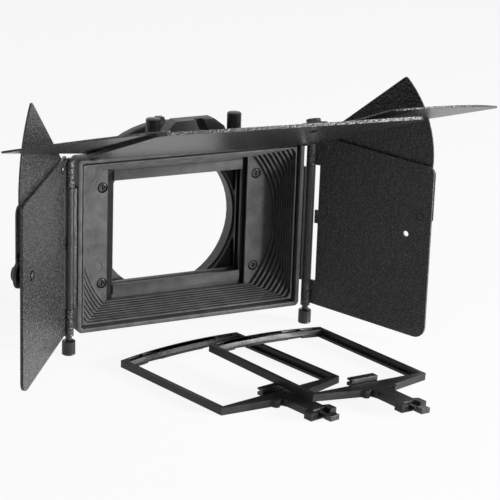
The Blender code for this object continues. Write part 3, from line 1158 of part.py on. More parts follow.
def stand_on_ground():
    """Move everything so the middle of its base is the origin."""
    bpy.context.view_layer.update()
    graph = bpy.context.evaluated_depsgraph_get()
    low = Vector((1e9, 1e9, 1e9))
    high = -low
    for obj in bpy.data.objects:
        if obj.type != "MESH" or obj.hide_render:
            continue
        shape = obj.evaluated_get(graph)
        for v in shape.data.vertices:
            p = shape.matrix_world @ v.co
            low = Vector(map(min, low, p))
            high = Vector(map(max, high, p))
    shift = Vector((-(low.x + high.x) / 2, -(low.y + high.y) / 2, -low.z))
    for obj in bpy.data.objects:
        if obj.parent is None:
            obj.matrix_world = Matrix.Translation(shift) @ obj.matrix_world
    bpy.context.view_layer.update()
    return shift


def main():
    build_hood()
    build_hood_screws()
    stage_rear = build_stage()
    build_ring(stage_rear)
    for side in (-1, 1):
        build_side(side)
    build_top()
    home_a, home_b = tray_homes()
    build_tray("a", home_a)
    build_tray("b", home_b)
    shift = stand_on_ground()
    print("shift", tuple(round(v, 6) for v in shift))


main()
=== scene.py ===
"""The dressed matte box: finer pieces, surface finishes, light and camera."""

import json
from math import atan2, cos, pi, radians, sin, sqrt

import bmesh
import bpy
from mathutils import Matrix, Vector


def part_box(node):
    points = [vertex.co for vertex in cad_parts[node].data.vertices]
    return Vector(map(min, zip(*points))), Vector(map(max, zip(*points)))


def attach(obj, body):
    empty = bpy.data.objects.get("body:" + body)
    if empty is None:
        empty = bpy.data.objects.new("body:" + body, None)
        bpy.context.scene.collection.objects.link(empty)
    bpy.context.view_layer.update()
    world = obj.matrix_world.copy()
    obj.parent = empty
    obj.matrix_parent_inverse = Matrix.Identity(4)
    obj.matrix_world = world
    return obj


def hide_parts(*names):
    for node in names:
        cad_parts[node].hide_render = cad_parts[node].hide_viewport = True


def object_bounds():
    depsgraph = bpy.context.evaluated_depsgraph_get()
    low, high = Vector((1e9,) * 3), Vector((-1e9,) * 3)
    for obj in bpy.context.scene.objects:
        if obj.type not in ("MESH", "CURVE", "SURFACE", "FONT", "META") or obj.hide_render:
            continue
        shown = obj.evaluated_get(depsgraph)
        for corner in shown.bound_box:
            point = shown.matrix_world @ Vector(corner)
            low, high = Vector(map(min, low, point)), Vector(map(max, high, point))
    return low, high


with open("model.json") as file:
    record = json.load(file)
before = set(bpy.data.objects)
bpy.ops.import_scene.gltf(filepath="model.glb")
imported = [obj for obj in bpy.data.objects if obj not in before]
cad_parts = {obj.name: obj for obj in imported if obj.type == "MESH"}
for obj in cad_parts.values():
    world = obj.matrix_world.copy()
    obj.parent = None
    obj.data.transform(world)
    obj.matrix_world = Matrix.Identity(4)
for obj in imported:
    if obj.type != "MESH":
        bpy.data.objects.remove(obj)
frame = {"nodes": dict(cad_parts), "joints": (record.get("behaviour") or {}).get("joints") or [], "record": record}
cad_low, cad_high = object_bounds()

NODES = frame["nodes"]
JOINTS = {j["name"]: j for j in frame["joints"]}
BODY_OF = {n: b for b, names in frame["record"]["behaviour"]["bodies"].items() for n in names}
SLOT_OF = {p["node"]: p["material_slot"] for p in frame["record"]["subparts"]}

# The middle of the hood's front face is the origin of every local place below.
HOOD_LOW, HOOD_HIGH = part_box("hood")
ORIGIN = Vector(((HOOD_LOW.x + HOOD_HIGH.x) / 2, HOOD_LOW.y, (HOOD_LOW.z + HOOD_HIGH.z) / 2))

# Lengths are in metres, apart from the camera's lens and sensor.

# The hood: half its width and height, its walls and the places of its parts in depth. Its rim
# is rounded over RIM_SOFT, with one more ring at RIM_BREAK of that.
HALF_W = 0.0697
HALF_H = 0.0497
WALL = 0.0025
STRAIGHT = 0.0120
REAR_HALF_W = 0.0640
REAR_HALF_H = 0.0430
PLATE_Y = 0.0180
REAR_Y = 0.0198
WINDOW_X = -0.0012
WINDOW_W = 0.0437
WINDOW_H = 0.0385
LIP_Y = 0.0022
LIP_W = 0.0659
LIP_H = 0.0457
GROOVE_Y = 0.0060
STEPS = 9
STEP_RADIUS = (0.0603, 0.0774)
STEP_W = (0.0599, 0.0650)
STEP_H = (0.0385, 0.0448)
STEP_CHAMFER = 0.00022
STEP_GROOVE_SIDE = 0.00034
STEP_GROOVE_ARC = 0.0009
STEP_GROOVE_DEPTH = 0.0010
LIP_CORNER = 0.0008
WINDOW_CORNER = 0.0006
RIM_SOFT = 0.0004
RIM_BREAK = 0.3
INSIDE_CORNERS = (0.0010, 0.0013, 0.0014)
OUTSIDE_CORNERS = (0.0024, 0.0027, 0.0028)

# Points in each quarter of an outline.
ARC = 18

# The hood's holes: their places to either side of the middle and their radii. The cutting
# tools reach past the surface by one of the first three lengths.
CUT_REACH = 0.004
SHORT_REACH = 0.002
NOTCH_REACH = 0.001
SCREW_X = 0.0480
SCREW_Z = 0.0279
SCREW_HOLE = 0.0031
LEAF_Y = 0.0074
LEAF_Z = 0.0230
LEAF_HOLE = 0.0011
LEAF_HOLE_DEPTH = 0.0048
THUMB_X = 0.0249
THUMB_Y = 0.0027
THUMB_HOLE = 0.0018
THUMB_HOLE_DEPTH = 0.0035

# Two small notches in the upper rim and one round mark on the plate.
NOTCH_PLACES = (-0.0350, 0.0390)
NOTCH_HALF = 0.0016
NOTCH_LENGTH = 0.0012
NOTCH_DEPTH = 0.0006
MARK_PLACE = (-0.0500, PLATE_Y, -0.0183)
MARK_RADIUS = 0.0026
MARK_DEPTH = 0.0002

# The fine diamond knurl: its pitch, its depth and the length over which its ends fade out.
KNURL_PITCH = 0.00095
KNURL_DEPTH = 0.00022
KNURL_FADE = 0.0003
SAME_HEIGHT = 1e-7

# The hinge knobs and the thumb screws.
KNOB_RADIUS = 0.0038
KNOB_BORE = 0.0015
KNOB_CHAMFER = 0.0005
THUMB_HEAD_RADIUS = 0.0041
THUMB_HEAD_HEIGHT = 0.0108
THUMB_TOP_CHAMFER = 0.0006
THUMB_SHANK_RADIUS = 0.0015
THUMB_POINT_RADIUS = 0.0013
THUMB_POINT_LENGTH = 0.0003

# The thumb nuts.
NUT_TEETH = 48
NUT_TOOTH_DEPTH = 0.00035
NUT_WHEEL_RADIUS = 0.0075
NUT_WHEEL_THICKNESS = 0.0024
NUT_CROWN_RADIUS = 0.0038
NUT_BORE = 0.0017
NUT_COLLAR_RADIUS = 0.0040
NUT_COLLAR_HEIGHT = 0.0040

# The filter stage is painted black beyond this distance to either side of the middle: painted shade standing for
# the deep, shadowed tray slots.
STAGE_PAINTED_SHADE_FROM = 0.0402
PAINTED_SHADE_BLACK = (0.004, 0.004, 0.004)

# How wide the edges are broken, by the start of a node's name.
EDGES = {"side_flag": 0.00035, "top_flag": 0.00035, "side_wing": 0.0003, "top_wing": 0.0003,
         "tray": 0.00025, "filter_stage": 0.00025, "lens_ring": 0.00025,
         "top_bracket": 0.0003, "latch_spring": 0.0}
OTHER_EDGES = 0.00015
HOOD_EDGE = 0.00012

# The studio. Floor and world look brighter to the camera than they shine on the part.
FLOOR_HALF = 7.0
FLOOR_Z = cad_low.z - 0.0002
FLOOR_UNSEEN = (0.75, 0.75, 0.75)
FLOOR_SEEN = (0.14, 0.14, 0.14)
FLOOR_GLOW = 0.90
WORLD_LIGHT = 0.05
KEY_PLACE = (1.30, -1.30, 0.20)
KEY_POWER = 80.0
KEY_SIZE = 0.6
FILL_PLACE = (-1.4, -1.3, 1.2)
FILL_POWER = 7.0
FILL_SIZE = 1.2

# The camera's place, its turns in degrees and its focal length in millimetres.
CAMERA_AT = (-0.443095, -0.919644, 0.299661)
CAMERA_YAW = 27.538
CAMERA_DOWN = 16.739
CAMERA_ROLL = 1.9907
CAMERA_LENS = 135.81
CAMERA_SENSOR = 36.0


def noise(tree, coord, size, detail=2.0, roughness=0.5, distortion=0.0):
    """A noise texture whose blotches are about size metres across."""
    node = tree.nodes.new("ShaderNodeTexNoise")
    node.inputs["Scale"].default_value = 1.0 / size
    node.inputs["Detail"].default_value = detail
    node.inputs["Roughness"].default_value = roughness
    node.inputs["Distortion"].default_value = distortion
    tree.links.new(coord, node.inputs["Vector"])
    return node.outputs["Fac"]


def cells(tree, coord, size):
    """A soft cell texture: 0 in a cell's middle, rising to its edge."""
    node = tree.nodes.new("ShaderNodeTexVoronoi")
    node.feature = "SMOOTH_F1"
    node.inputs["Scale"].default_value = 1.0 / size
    node.inputs["Smoothness"].default_value = 0.6
    tree.links.new(coord, node.inputs["Vector"])
    return node.outputs["Distance"]


def spread(tree, value, low, high, to_low, to_high):
    """A value mapped from one range to another and held inside it."""
    node = tree.nodes.new("ShaderNodeMapRange")
    node.inputs["From Min"].default_value = low
    node.inputs["From Max"].default_value = high
    node.inputs["To Min"].default_value = to_low
    node.inputs["To Max"].default_value = to_high
    tree.links.new(value, node.inputs["Value"])
    return node.outputs["Result"]


def blend_colour(tree, fac, a, b):
    """Colour a where fac is 0 and b where it is 1; each is a colour or a socket."""
    node = tree.nodes.new("ShaderNodeMix")
    node.data_type = "RGBA"
    tree.links.new(fac, node.inputs["Factor"])
    for socket, colour in ((node.inputs["A"], a), (node.inputs["B"], b)):
        if hasattr(colour, "is_linked"):
            tree.links.new(colour, socket)
        else:
            socket.default_value = (*colour, 1.0)
    return node.outputs["Result"]


def bump(tree, height, strength, distance):
    """A normal that follows a height."""
    node = tree.nodes.new("ShaderNodeBump")
    node.inputs["Strength"].default_value = strength
    node.inputs["Distance"].default_value = distance
    tree.links.new(height, node.inputs["Height"])
    return node.outputs["Normal"]


def start_material(name, metallic=0.0, specular=0.5):
    """A new material, its node tree, its shader and the object's coordinates."""
    mat = bpy.data.materials.new(name)
    mat.use_nodes = True
    tree = mat.node_tree
    shader = tree.nodes["Principled BSDF"]
    shader.inputs["Metallic"].default_value = metallic
    shader.inputs["Specular IOR Level"].default_value = specular
    coord = tree.nodes.new("ShaderNodeTexCoord").outputs["Object"]
    return mat, tree, shader, coord


def side_mask(tree, coord, start):
    """1 beyond a distance to either side of the hood's middle, 0 nearer to it."""
    split = tree.nodes.new("ShaderNodeSeparateXYZ")
    tree.links.new(coord, split.inputs["Vector"])
    shift = tree.nodes.new("ShaderNodeMath")
    shift.operation = "SUBTRACT"
    shift.inputs[1].default_value = ORIGIN.x
    tree.links.new(split.outputs["X"], shift.inputs[0])
    size = tree.nodes.new("ShaderNodeMath")
    size.operation = "ABSOLUTE"
    tree.links.new(shift.outputs[0], size.inputs[0])
    return spread(tree, size.outputs[0], start, start + 0.0004, 0.0, 1.0)


def moulded(name, dark, light, rough, blotch=0.006, grain=0.0005, depth=0.00003,
            metallic=0.0, specular=0.5, painted_shade_from=None):
    """Moulded plastic or blackened metal: soft blotches, fine grain and a matt break-up, with painted shade in
    black beyond painted_shade_from to either side when it is given.
    """
    mat, tree, shader, coord = start_material(name, metallic, specular)
    wide = noise(tree, coord, blotch, 4.0, 0.6)
    fine = noise(tree, coord, grain, 3.0, 0.6)
    base = blend_colour(tree, spread(tree, wide, 0.32, 0.68, 0.0, 1.0), dark, light)
    speck = spread(tree, fine, 0.35, 0.75, 0.0, 0.35)
    tint = tuple(min(1.0, c * 1.7) for c in light)
    colour = blend_colour(tree, speck, base, tint)
    # Painted shade: black to either side of the middle, where the tray slots lie in shadow.
    if painted_shade_from is not None:
        colour = blend_colour(tree, side_mask(tree, coord, painted_shade_from), colour, PAINTED_SHADE_BLACK)
    tree.links.new(colour, shader.inputs["Base Color"])
    tree.links.new(spread(tree, wide, 0.3, 0.7, rough[0], rough[1]), shader.inputs["Roughness"])
    tree.links.new(bump(tree, fine, 0.6, depth), shader.inputs["Normal"])
    return mat


def wrinkle_coat(name, dark, light, rough, cell, depth, specular):
    """A baked wrinkle coat: small raised beads, with painted glints: scattered specks painted lighter where the
    coat's sheen sparkles.
    """
    mat, tree, shader, coord = start_material(name, 0.0, specular)
    warp = tree.nodes.new("ShaderNodeMix")
    warp.data_type = "VECTOR"
    warp.inputs["Factor"].default_value = 0.0006
    swirl = tree.nodes.new("ShaderNodeTexNoise")
    swirl.inputs["Scale"].default_value = 1.0 / (cell * 2.2)
    tree.links.new(coord, swirl.inputs["Vector"])
    tree.links.new(coord, warp.inputs["A"])
    tree.links.new(swirl.outputs["Color"], warp.inputs["B"])
    bead = cells(tree, warp.outputs["Result"], cell)
    fine = noise(tree, coord, cell * 0.45, 3.0, 0.6)
    wide = noise(tree, coord, 0.012, 3.0, 0.55)
    height = tree.nodes.new("ShaderNodeMath")
    height.operation = "MULTIPLY_ADD"
    height.inputs[1].default_value = -1.0
    tree.links.new(bead, height.inputs[0])
    tree.links.new(spread(tree, fine, 0.2, 0.8, 0.0, 0.5), height.inputs[2])
    base = blend_colour(tree, spread(tree, wide, 0.35, 0.65, 0.0, 1.0), dark, light)
    # Painted glints: scattered specks nine times lighter, standing for the sparkling sheen of the coat.
    glint_specks = noise(tree, coord, cell * 0.6, 2.0, 0.7)
    painted_glints = spread(tree, glint_specks, 0.50, 0.64, 0.0, 1.0)
    tree.links.new(blend_colour(tree, painted_glints, base, tuple(c * 9.0 for c in light)),
                   shader.inputs["Base Color"])
    tree.links.new(spread(tree, fine, 0.3, 0.7, rough[0], rough[1]), shader.inputs["Roughness"])
    tree.links.new(bump(tree, height.outputs["Value"], 1.0, depth), shader.inputs["Normal"])
    return mat


def brushed(name, dark, light, rough):
    """Drawn metal: fine scratches and a faint stain."""
    mat, tree, shader, coord = start_material(name, 1.0)
    fine = noise(tree, coord, 0.0004, 5.0, 0.7, 0.4)
    wide = noise(tree, coord, 0.004, 2.0)
    tree.links.new(blend_colour(tree, spread(tree, wide, 0.3, 0.7, 0.0, 1.0), dark, light),
                   shader.inputs["Base Color"])
    tree.links.new(spread(tree, fine, 0.3, 0.7, rough[0], rough[1]), shader.inputs["Roughness"])
    tree.links.new(bump(tree, fine, 0.4, 0.00002), shader.inputs["Normal"])
    return mat


# A finish for each material slot of the record.
FINISH = {
    "hood_plastic": moulded("hood_finish", (0.040, 0.040, 0.0405), (0.084, 0.084, 0.085),
                            (0.32, 0.46), grain=0.0006, specular=0.22),
    # The stage's finish carries painted shade: black to either side of the middle.
    "stage_plastic": moulded("stage_finish", (0.036, 0.036, 0.0365), (0.056, 0.056, 0.057),
                             (0.34, 0.46), grain=0.0006, specular=0.20,
                             painted_shade_from=STAGE_PAINTED_SHADE_FROM),
    "ring_plastic": moulded("ring_finish", (0.036, 0.036, 0.037), (0.050, 0.050, 0.051),
                            (0.40, 0.52)),
    "flag_coat": wrinkle_coat("flag_finish", (0.006, 0.006, 0.0062), (0.012, 0.012, 0.0122),
                              (0.20, 0.34), cell=0.0014, depth=0.00026, specular=0.36),
    "hinge_steel": wrinkle_coat("hinge_finish", (0.004, 0.004, 0.0042), (0.006, 0.006, 0.0063),
                                (0.26, 0.40), cell=0.0009, depth=0.00012, specular=0.40),
    "pin_steel": moulded("pin_finish", (0.020, 0.020, 0.021), (0.034, 0.034, 0.035),
                         (0.26, 0.38), blotch=0.003, grain=0.0003, depth=0.00002, metallic=0.4),
    "knob_metal": moulded("knob_finish", (0.014, 0.014, 0.015), (0.024, 0.024, 0.025),
                          (0.28, 0.42), blotch=0.002, grain=0.0003, depth=0.00002, metallic=0.3),
    "screw_steel": moulded("screw_finish", (0.016, 0.016, 0.017), (0.030, 0.030, 0.031),
                           (0.26, 0.40), blotch=0.002, grain=0.0003, depth=0.00002, metallic=0.5),
    "tray_plastic": moulded("tray_finish", (0.008, 0.008, 0.0083), (0.014, 0.014, 0.0143),
                            (0.36, 0.48), blotch=0.007, depth=0.00001, specular=0.30),
    "latch_plastic": moulded("latch_finish", (0.012, 0.012, 0.0125), (0.020, 0.020, 0.0205),
                             (0.30, 0.42), blotch=0.005, depth=0.00002),
    "spring_steel": brushed("spring_finish", (0.42, 0.42, 0.43), (0.55, 0.55, 0.56),
                            (0.22, 0.34)),
    "bracket_metal": moulded("bracket_finish", (0.030, 0.030, 0.031), (0.046, 0.046, 0.047),
                             (0.36, 0.50), blotch=0.004, depth=0.00004, metallic=0.1),
}


def piece(name, bm, node, shade=40.0, bevel=0.0, angle=30.0):
    """A finished piece that stands for a node, with its edges rounded where asked."""
    mesh = bpy.data.meshes.new(name)
    bm.to_mesh(mesh)
    bm.free()
    for polygon in mesh.polygons:
        polygon.use_smooth = True
    mesh.set_sharp_from_angle(angle=radians(shade))
    mesh.materials.append(FINISH[SLOT_OF[node]])
    obj = bpy.data.objects.new(name, mesh)
    bpy.context.scene.collection.objects.link(obj)
    if bevel:
        mod = obj.modifiers.new("rounded_edges", "BEVEL")
        mod.width = bevel
        mod.segments = 2
        mod.limit_method = "ANGLE"
        mod.angle_limit = radians(angle)
        mod.harden_normals = True
        mod.miter_outer = "MITER_ARC"
    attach(obj, BODY_OF[node])
    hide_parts(node)


def cad_mesh(node):
    """A node's mesh with its doubled corners merged and its flat faces made whole."""
    bm = bmesh.new()
    bm.from_mesh(NODES[node].data)
    bmesh.ops.remove_doubles(bm, verts=bm.verts, dist=1e-6)
    bmesh.ops.dissolve_limit(bm, angle_limit=radians(0.4), verts=bm.verts, edges=bm.edges)
    return bm


def dressed(node, bevel):
    """A node's own shape with softened edges."""
    piece(node + "_piece", cad_mesh(node), node, bevel=bevel)


def skin(rings, closed_loop=False):
    """A mesh through rings that all have the same number of points."""
    bm = bmesh.new()
    loops = [[bm.verts.new(p) for p in ring] for ring in rings]
    count = len(rings[0])
    last = len(rings) if closed_loop else len(rings) - 1
    for k in range(last):
        a, b = loops[k], loops[(k + 1) % len(rings)]
        for i in range(count):
            j = (i + 1) % count
            bm.faces.new((a[i], a[j], b[j], b[i]))
    if not closed_loop:
        bm.faces.new(loops[0])
        bm.faces.new(loops[-1])
    bmesh.ops.recalc_face_normals(bm, faces=bm.faces)
    if bm.calc_volume(signed=True) < 0:
        bmesh.ops.reverse_faces(bm, faces=bm.faces)
    return bm


def hidden_tool(name, bm, place=Matrix.Identity(4)):
    """A mesh that only cuts others."""
    mesh = bpy.data.meshes.new(name)
    bm.transform(place)
    bm.to_mesh(mesh)
    bm.free()
    obj = bpy.data.objects.new(name, mesh)
    bpy.context.scene.collection.objects.link(obj)
    return obj


def carve(bm, tools):
    """The mesh with every tool cut out of it."""
    body = hidden_tool("carved", bm)
    for tool in tools:
        mod = body.modifiers.new("cut", "BOOLEAN")
        mod.operation = "DIFFERENCE"
        mod.solver = "EXACT"
        mod.object = tool
    shown = body.evaluated_get(bpy.context.evaluated_depsgraph_get())
    out = bmesh.new()
    out.from_mesh(shown.to_mesh())
    shown.to_mesh_clear()
    bmesh.ops.triangulate(out, faces=[f for f in out.faces if len(f.verts) > 4])
    for obj in [body] + tools:
        bpy.data.objects.remove(obj)
    return out


def round_tool(name, profile, sides, origin, direction):
    """A turned tool: profile has (radius, height) pairs along a direction."""
    rings = [[(r * cos(2 * pi * i / sides), r * sin(2 * pi * i / sides), h)
              for i in range(sides)] for r, h in profile]
    return hidden_tool(name, skin(rings), along(origin, direction))


def block_tool(name, low, high):
    """A block-shaped tool between two opposite corners."""
    corners = [(low[0], low[1]), (high[0], low[1]), (high[0], high[1]), (low[0], high[1])]
    rings = [[(x, y, z) for x, y in corners] for z in (low[2], high[2])]
    return hidden_tool(name, skin(rings), Matrix.Translation(ORIGIN))


def along(origin, direction):
    """A place whose z axis points along a direction, from a local origin."""
    m = Vector(direction).to_track_quat("Z", "Y").to_matrix().to_4x4()
    m.translation = Vector(origin) + ORIGIN
    return m


def corner_rect(half_w, half_h, radius):
    """A rectangle with round corners."""
    points = []
    for quarter in range(4):
        sx = 1 if quarter in (0, 3) else -1
        sz = 1 if quarter in (0, 1) else -1
        for k in range(ARC + 1):
            a = (quarter + k / ARC) * pi / 2
            points.append((sx * (half_w - radius) + radius * cos(a),
                           sz * (half_h - radius) + radius * sin(a)))
    return points


def clipped_circle(half_w, half_h, radius):
    """A circle clipped by a rectangle, with as many points as corner_rect."""
    low = atan2(sqrt(radius ** 2 - half_w ** 2), half_w)
    high = atan2(half_h, sqrt(radius ** 2 - half_h ** 2))
    points = []
    for quarter in range(4):
        for k in range(ARC + 1):
            t = k / ARC
            a = low + (high - low) * (t if quarter in (0, 2) else 1 - t)
            sx = 1 if quarter in (0, 3) else -1
            sz = 1 if quarter in (0, 1) else -1
            points.append((sx * radius * cos(a), sz * radius * sin(a)))
    return points


def at_y(points, y):
    """An outline's (x, z) points placed at a depth."""
    return [Vector((p[0], y, p[1])) + ORIGIN for p in points]


def step_size(t):
    """A step's half width, half height and radius, innermost at t = 0 and outermost at t = 1."""
    return [inner + t * (outer - inner) for inner, outer in (STEP_W, STEP_H, STEP_RADIUS)]


def step_outline(t, inset=0.0):
    """A step's outline, drawn in by inset."""
    half_w, half_h, radius = step_size(t)
    return clipped_circle(half_w - inset, half_h - inset, radius - inset)


def step_foot(t):
    """A step's outline drawn in by the groove at its foot, wider along the arcs."""
    half_w, half_h, radius = step_size(t)
    return clipped_circle(half_w - STEP_GROOVE_SIDE, half_h - STEP_GROOVE_SIDE,
                          radius - STEP_GROOVE_ARC)


def build_hood():
    """The hood again, with rounder arcs, broken step edges and its small moulded marks."""
    pitch = (PLATE_Y - LIP_Y) / STEPS
    rings = []
    for k in range(STEPS):
        t = k / (STEPS - 1)
        back = PLATE_Y - k * pitch
        front = PLATE_Y - (k + 1) * pitch
        if k:
            rings.append(at_y(step_foot(t), back))
            rings.append(at_y(step_foot(t), back + STEP_GROOVE_DEPTH))
            rings.append(at_y(step_outline(t), back + STEP_GROOVE_DEPTH))
        else:
            rings.append(at_y(step_outline(t), back))
        rings.append(at_y(step_outline(t), front + STEP_CHAMFER))
        rings.append(at_y(step_outline(t, -STEP_CHAMFER), front))
    rings.append(at_y(corner_rect(LIP_W, LIP_H, LIP_CORNER), LIP_Y))
    rings.append(at_y(corner_rect(LIP_W, LIP_H, LIP_CORNER), GROOVE_Y))
    inner_w, inner_h = HALF_W - WALL, HALF_H - WALL
    soft = RIM_SOFT
    broken = RIM_SOFT * RIM_BREAK
    inside, outside = INSIDE_CORNERS, OUTSIDE_CORNERS
    rings.append(at_y(corner_rect(inner_w, inner_h, inside[0]), GROOVE_Y))
    rings.append(at_y(corner_rect(inner_w, inner_h, inside[0]), soft))
    rings.append(at_y(corner_rect(inner_w + broken, inner_h + broken, inside[1]), broken))
    rings.append(at_y(corner_rect(inner_w + soft, inner_h + soft, inside[2]), 0.0))
    rings.append(at_y(corner_rect(HALF_W - soft, HALF_H - soft, outside[0]), 0.0))
    rings.append(at_y(corner_rect(HALF_W - broken, HALF_H - broken, outside[1]), broken))
    rings.append(at_y(corner_rect(HALF_W, HALF_H, outside[2]), soft))
    rings.append(at_y(corner_rect(HALF_W, HALF_H, outside[2]), STRAIGHT))
    rings.append(at_y(corner_rect(REAR_HALF_W, REAR_HALF_H, outside[2]), REAR_Y))
    window = [(x + WINDOW_X, z) for x, z in corner_rect(WINDOW_W, WINDOW_H, WINDOW_CORNER)]
    tools = [hidden_tool("window", skin([at_y(window, y)
                                         for y in (PLATE_Y - CUT_REACH, REAR_Y + CUT_REACH)]))]
    for sx in (-1, 1):
        for sz in (-1, 1):
            tools.append(round_tool("screw_hole",
                                    [(SCREW_HOLE, -CUT_REACH), (SCREW_HOLE, CUT_REACH)],
                                    40, (sx * SCREW_X, REAR_Y, sz * SCREW_Z), (0, 1, 0)))
            tools.append(round_tool("leaf_hole",
                                    [(LEAF_HOLE, -LEAF_HOLE_DEPTH), (LEAF_HOLE, CUT_REACH)],
                                    20, (sx * HALF_W, LEAF_Y, sz * LEAF_Z), (sx, 0, 0)))
        tools.append(round_tool("thumb_hole",
                                [(THUMB_HOLE, -THUMB_HOLE_DEPTH), (THUMB_HOLE, SHORT_REACH)],
                                28, (sx * THUMB_X, THUMB_Y, HALF_H), (0, 0, 1)))
    for x in NOTCH_PLACES:
        tools.append(block_tool("edge_notch", (x - NOTCH_HALF, -NOTCH_REACH, HALF_H - NOTCH_DEPTH),
                                (x + NOTCH_HALF, NOTCH_LENGTH, HALF_H + NOTCH_REACH)))
    tools.append(round_tool("plate_mark", [(MARK_RADIUS, -MARK_DEPTH), (MARK_RADIUS, SHORT_REACH)], 40,
                            MARK_PLACE, (0, -1, 0)))
    shell = skin(rings)
    bmesh.ops.triangulate(shell, faces=[f for f in shell.faces if len(f.verts) > 4])
    piece("hood_shell", carve(shell, tools), "hood", shade=28.0, bevel=HOOD_EDGE, angle=40.0)


def axis_of(joint):
    """A joint's anchor and unit direction in the row's frame."""
    j = JOINTS[joint]
    return Vector(j["pos_m"]), Vector(j["axis"]).normalized()


def reach_along(node, anchor, axis):
    """How far a node lies along an axis."""
    heights = [(v.co - anchor).dot(axis) for v in NODES[node].data.vertices]
    return min(heights), max(heights)


def knurled(name, node, joint, profile, grip, bore=0.0):
    """A round piece on a joint's axis. Its profile is (radius, height) from the CAD
    node's lower end, and the band named by grip carries a diamond knurl."""
    anchor, axis = axis_of(joint)
    low, high = reach_along(node, anchor, axis)
    if axis.z < -0.5:
        axis = -axis
        low = -high
    frame_z = axis.to_track_quat("Z", "Y").to_matrix().to_4x4()
    frame_z.translation = anchor + axis * low
    band_low, band_high = grip
    radius = max(r for r, h in profile)
    turns = max(8, round(2 * pi * radius / KNURL_PITCH))
    sides = turns * 4
    heights = []
    for (r0, h0), (r1, h1) in zip(profile, profile[1:]):
        heights.append((r0, h0))
        if abs(h0 - band_low) < SAME_HEIGHT and abs(h1 - band_high) < SAME_HEIGHT:
            rows = max(4, round((band_high - band_low) / (KNURL_PITCH / 4)))
            heights += [(r0, h0 + (h1 - h0) * k / rows) for k in range(1, rows)]
    heights.append(profile[-1])
    rings = []
    for r, h in heights:
        ring = []
        for i in range(sides):
            a = 2 * pi * i / sides
            rr = r
            if band_low <= h <= band_high:
                up = (i / 4 + h / KNURL_PITCH) % 1.0
                down = (i / 4 - h / KNURL_PITCH) % 1.0
                ridge = min(abs(up - 0.5), abs(down - 0.5)) * 2
                fade = min(1.0, (h - band_low) / KNURL_FADE, (band_high - h) / KNURL_FADE)
                rr = r - KNURL_DEPTH * fade * (1 - ridge)
            ring.append(frame_z @ Vector((rr * cos(a), rr * sin(a), h)))
        rings.append(ring)
    if bore:
        inner = [[frame_z @ Vector((bore * cos(2 * pi * i / sides), bore * sin(2 * pi * i / sides), h))
                  for i in range(sides)] for h in (profile[-1][1], profile[0][1])]
        piece(name, skin(rings + inner, True), node, shade=50.0)
    else:
        piece(name, skin(rings), node, shade=50.0)


def hinge_knob(label):
    """The knurled knob on a hinge pin's lower end."""
    low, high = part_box("hinge_knob_" + label)
    tall = high.z - low.z
    r, c = KNOB_RADIUS, KNOB_CHAMFER
    knurled("hinge_knob_%s_piece" % label, "hinge_knob_" + label, "pin_knob_%s_turn" % label,
            [(r - c, 0.0), (r, c), (r, tall - c), (r - c, tall)], (c, tall - c), KNOB_BORE)


def thumb_screw(label):
    """One of the bracket's thumb screws: a plain shank under a knurled head."""
    low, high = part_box("thumb_screw_" + label)
    tall = high.z - low.z
    r, c, top = THUMB_HEAD_RADIUS, KNOB_CHAMFER, THUMB_TOP_CHAMFER
    shank, foot = THUMB_SHANK_RADIUS, tall - THUMB_HEAD_HEIGHT
    knurled("thumb_screw_%s_piece" % label, "thumb_screw_" + label, "bracket_screw_%s_turn" % label,
            [(THUMB_POINT_RADIUS, 0.0), (shank, THUMB_POINT_LENGTH), (shank, foot), (r - c, foot),
             (r, foot + c), (r, tall - top), (r - top, tall)], (foot + c, tall - top))


def toothed_nut(node, joint, collar=0.0):
    """A thumb nut: a collar, a thin wheel with a fine straight knurl and a round crown."""
    anchor, axis = axis_of(joint)
    low, high = reach_along(node, anchor, axis)
    place = axis.to_track_quat("Z", "Y").to_matrix().to_4x4()
    place.translation = anchor + axis * low
    sides = NUT_TEETH * 4
    wheel, crown, bore, foot = NUT_WHEEL_RADIUS, NUT_CROWN_RADIUS, NUT_BORE, NUT_COLLAR_RADIUS
    base, top, tall = collar, collar + NUT_WHEEL_THICKNESS, high - low
    profile = [(bore, 0.0)]
    if collar:
        profile += [(foot - 0.0003, 0.0), (foot, 0.0003), (foot, base - 0.0003),
                    (foot + 0.0004, base)]
    profile += [(wheel - 0.0006, base), (wheel, base + 0.0004), (wheel, top - 0.0004),
                (wheel - 0.0006, top), (crown + 0.0006, top), (crown + 0.0001, top + 0.0003),
                (crown, top + 0.0008), (crown, tall - 0.0004), (crown - 0.0004, tall),
                (bore + 0.0003, tall), (bore, tall - 0.0003)]
    rings = []
    for r, h in profile:
        ring = []
        for i in range(sides):
            cut_in = NUT_TOOTH_DEPTH * (0.5 - 0.5 * cos(2 * pi * i / 4)) if r == wheel else 0.0
            a = 2 * pi * i / sides
            ring.append(place @ Vector(((r - cut_in) * cos(a), (r - cut_in) * sin(a), h)))
        rings.append(ring)
    piece(node + "_piece", skin(rings, True), node)


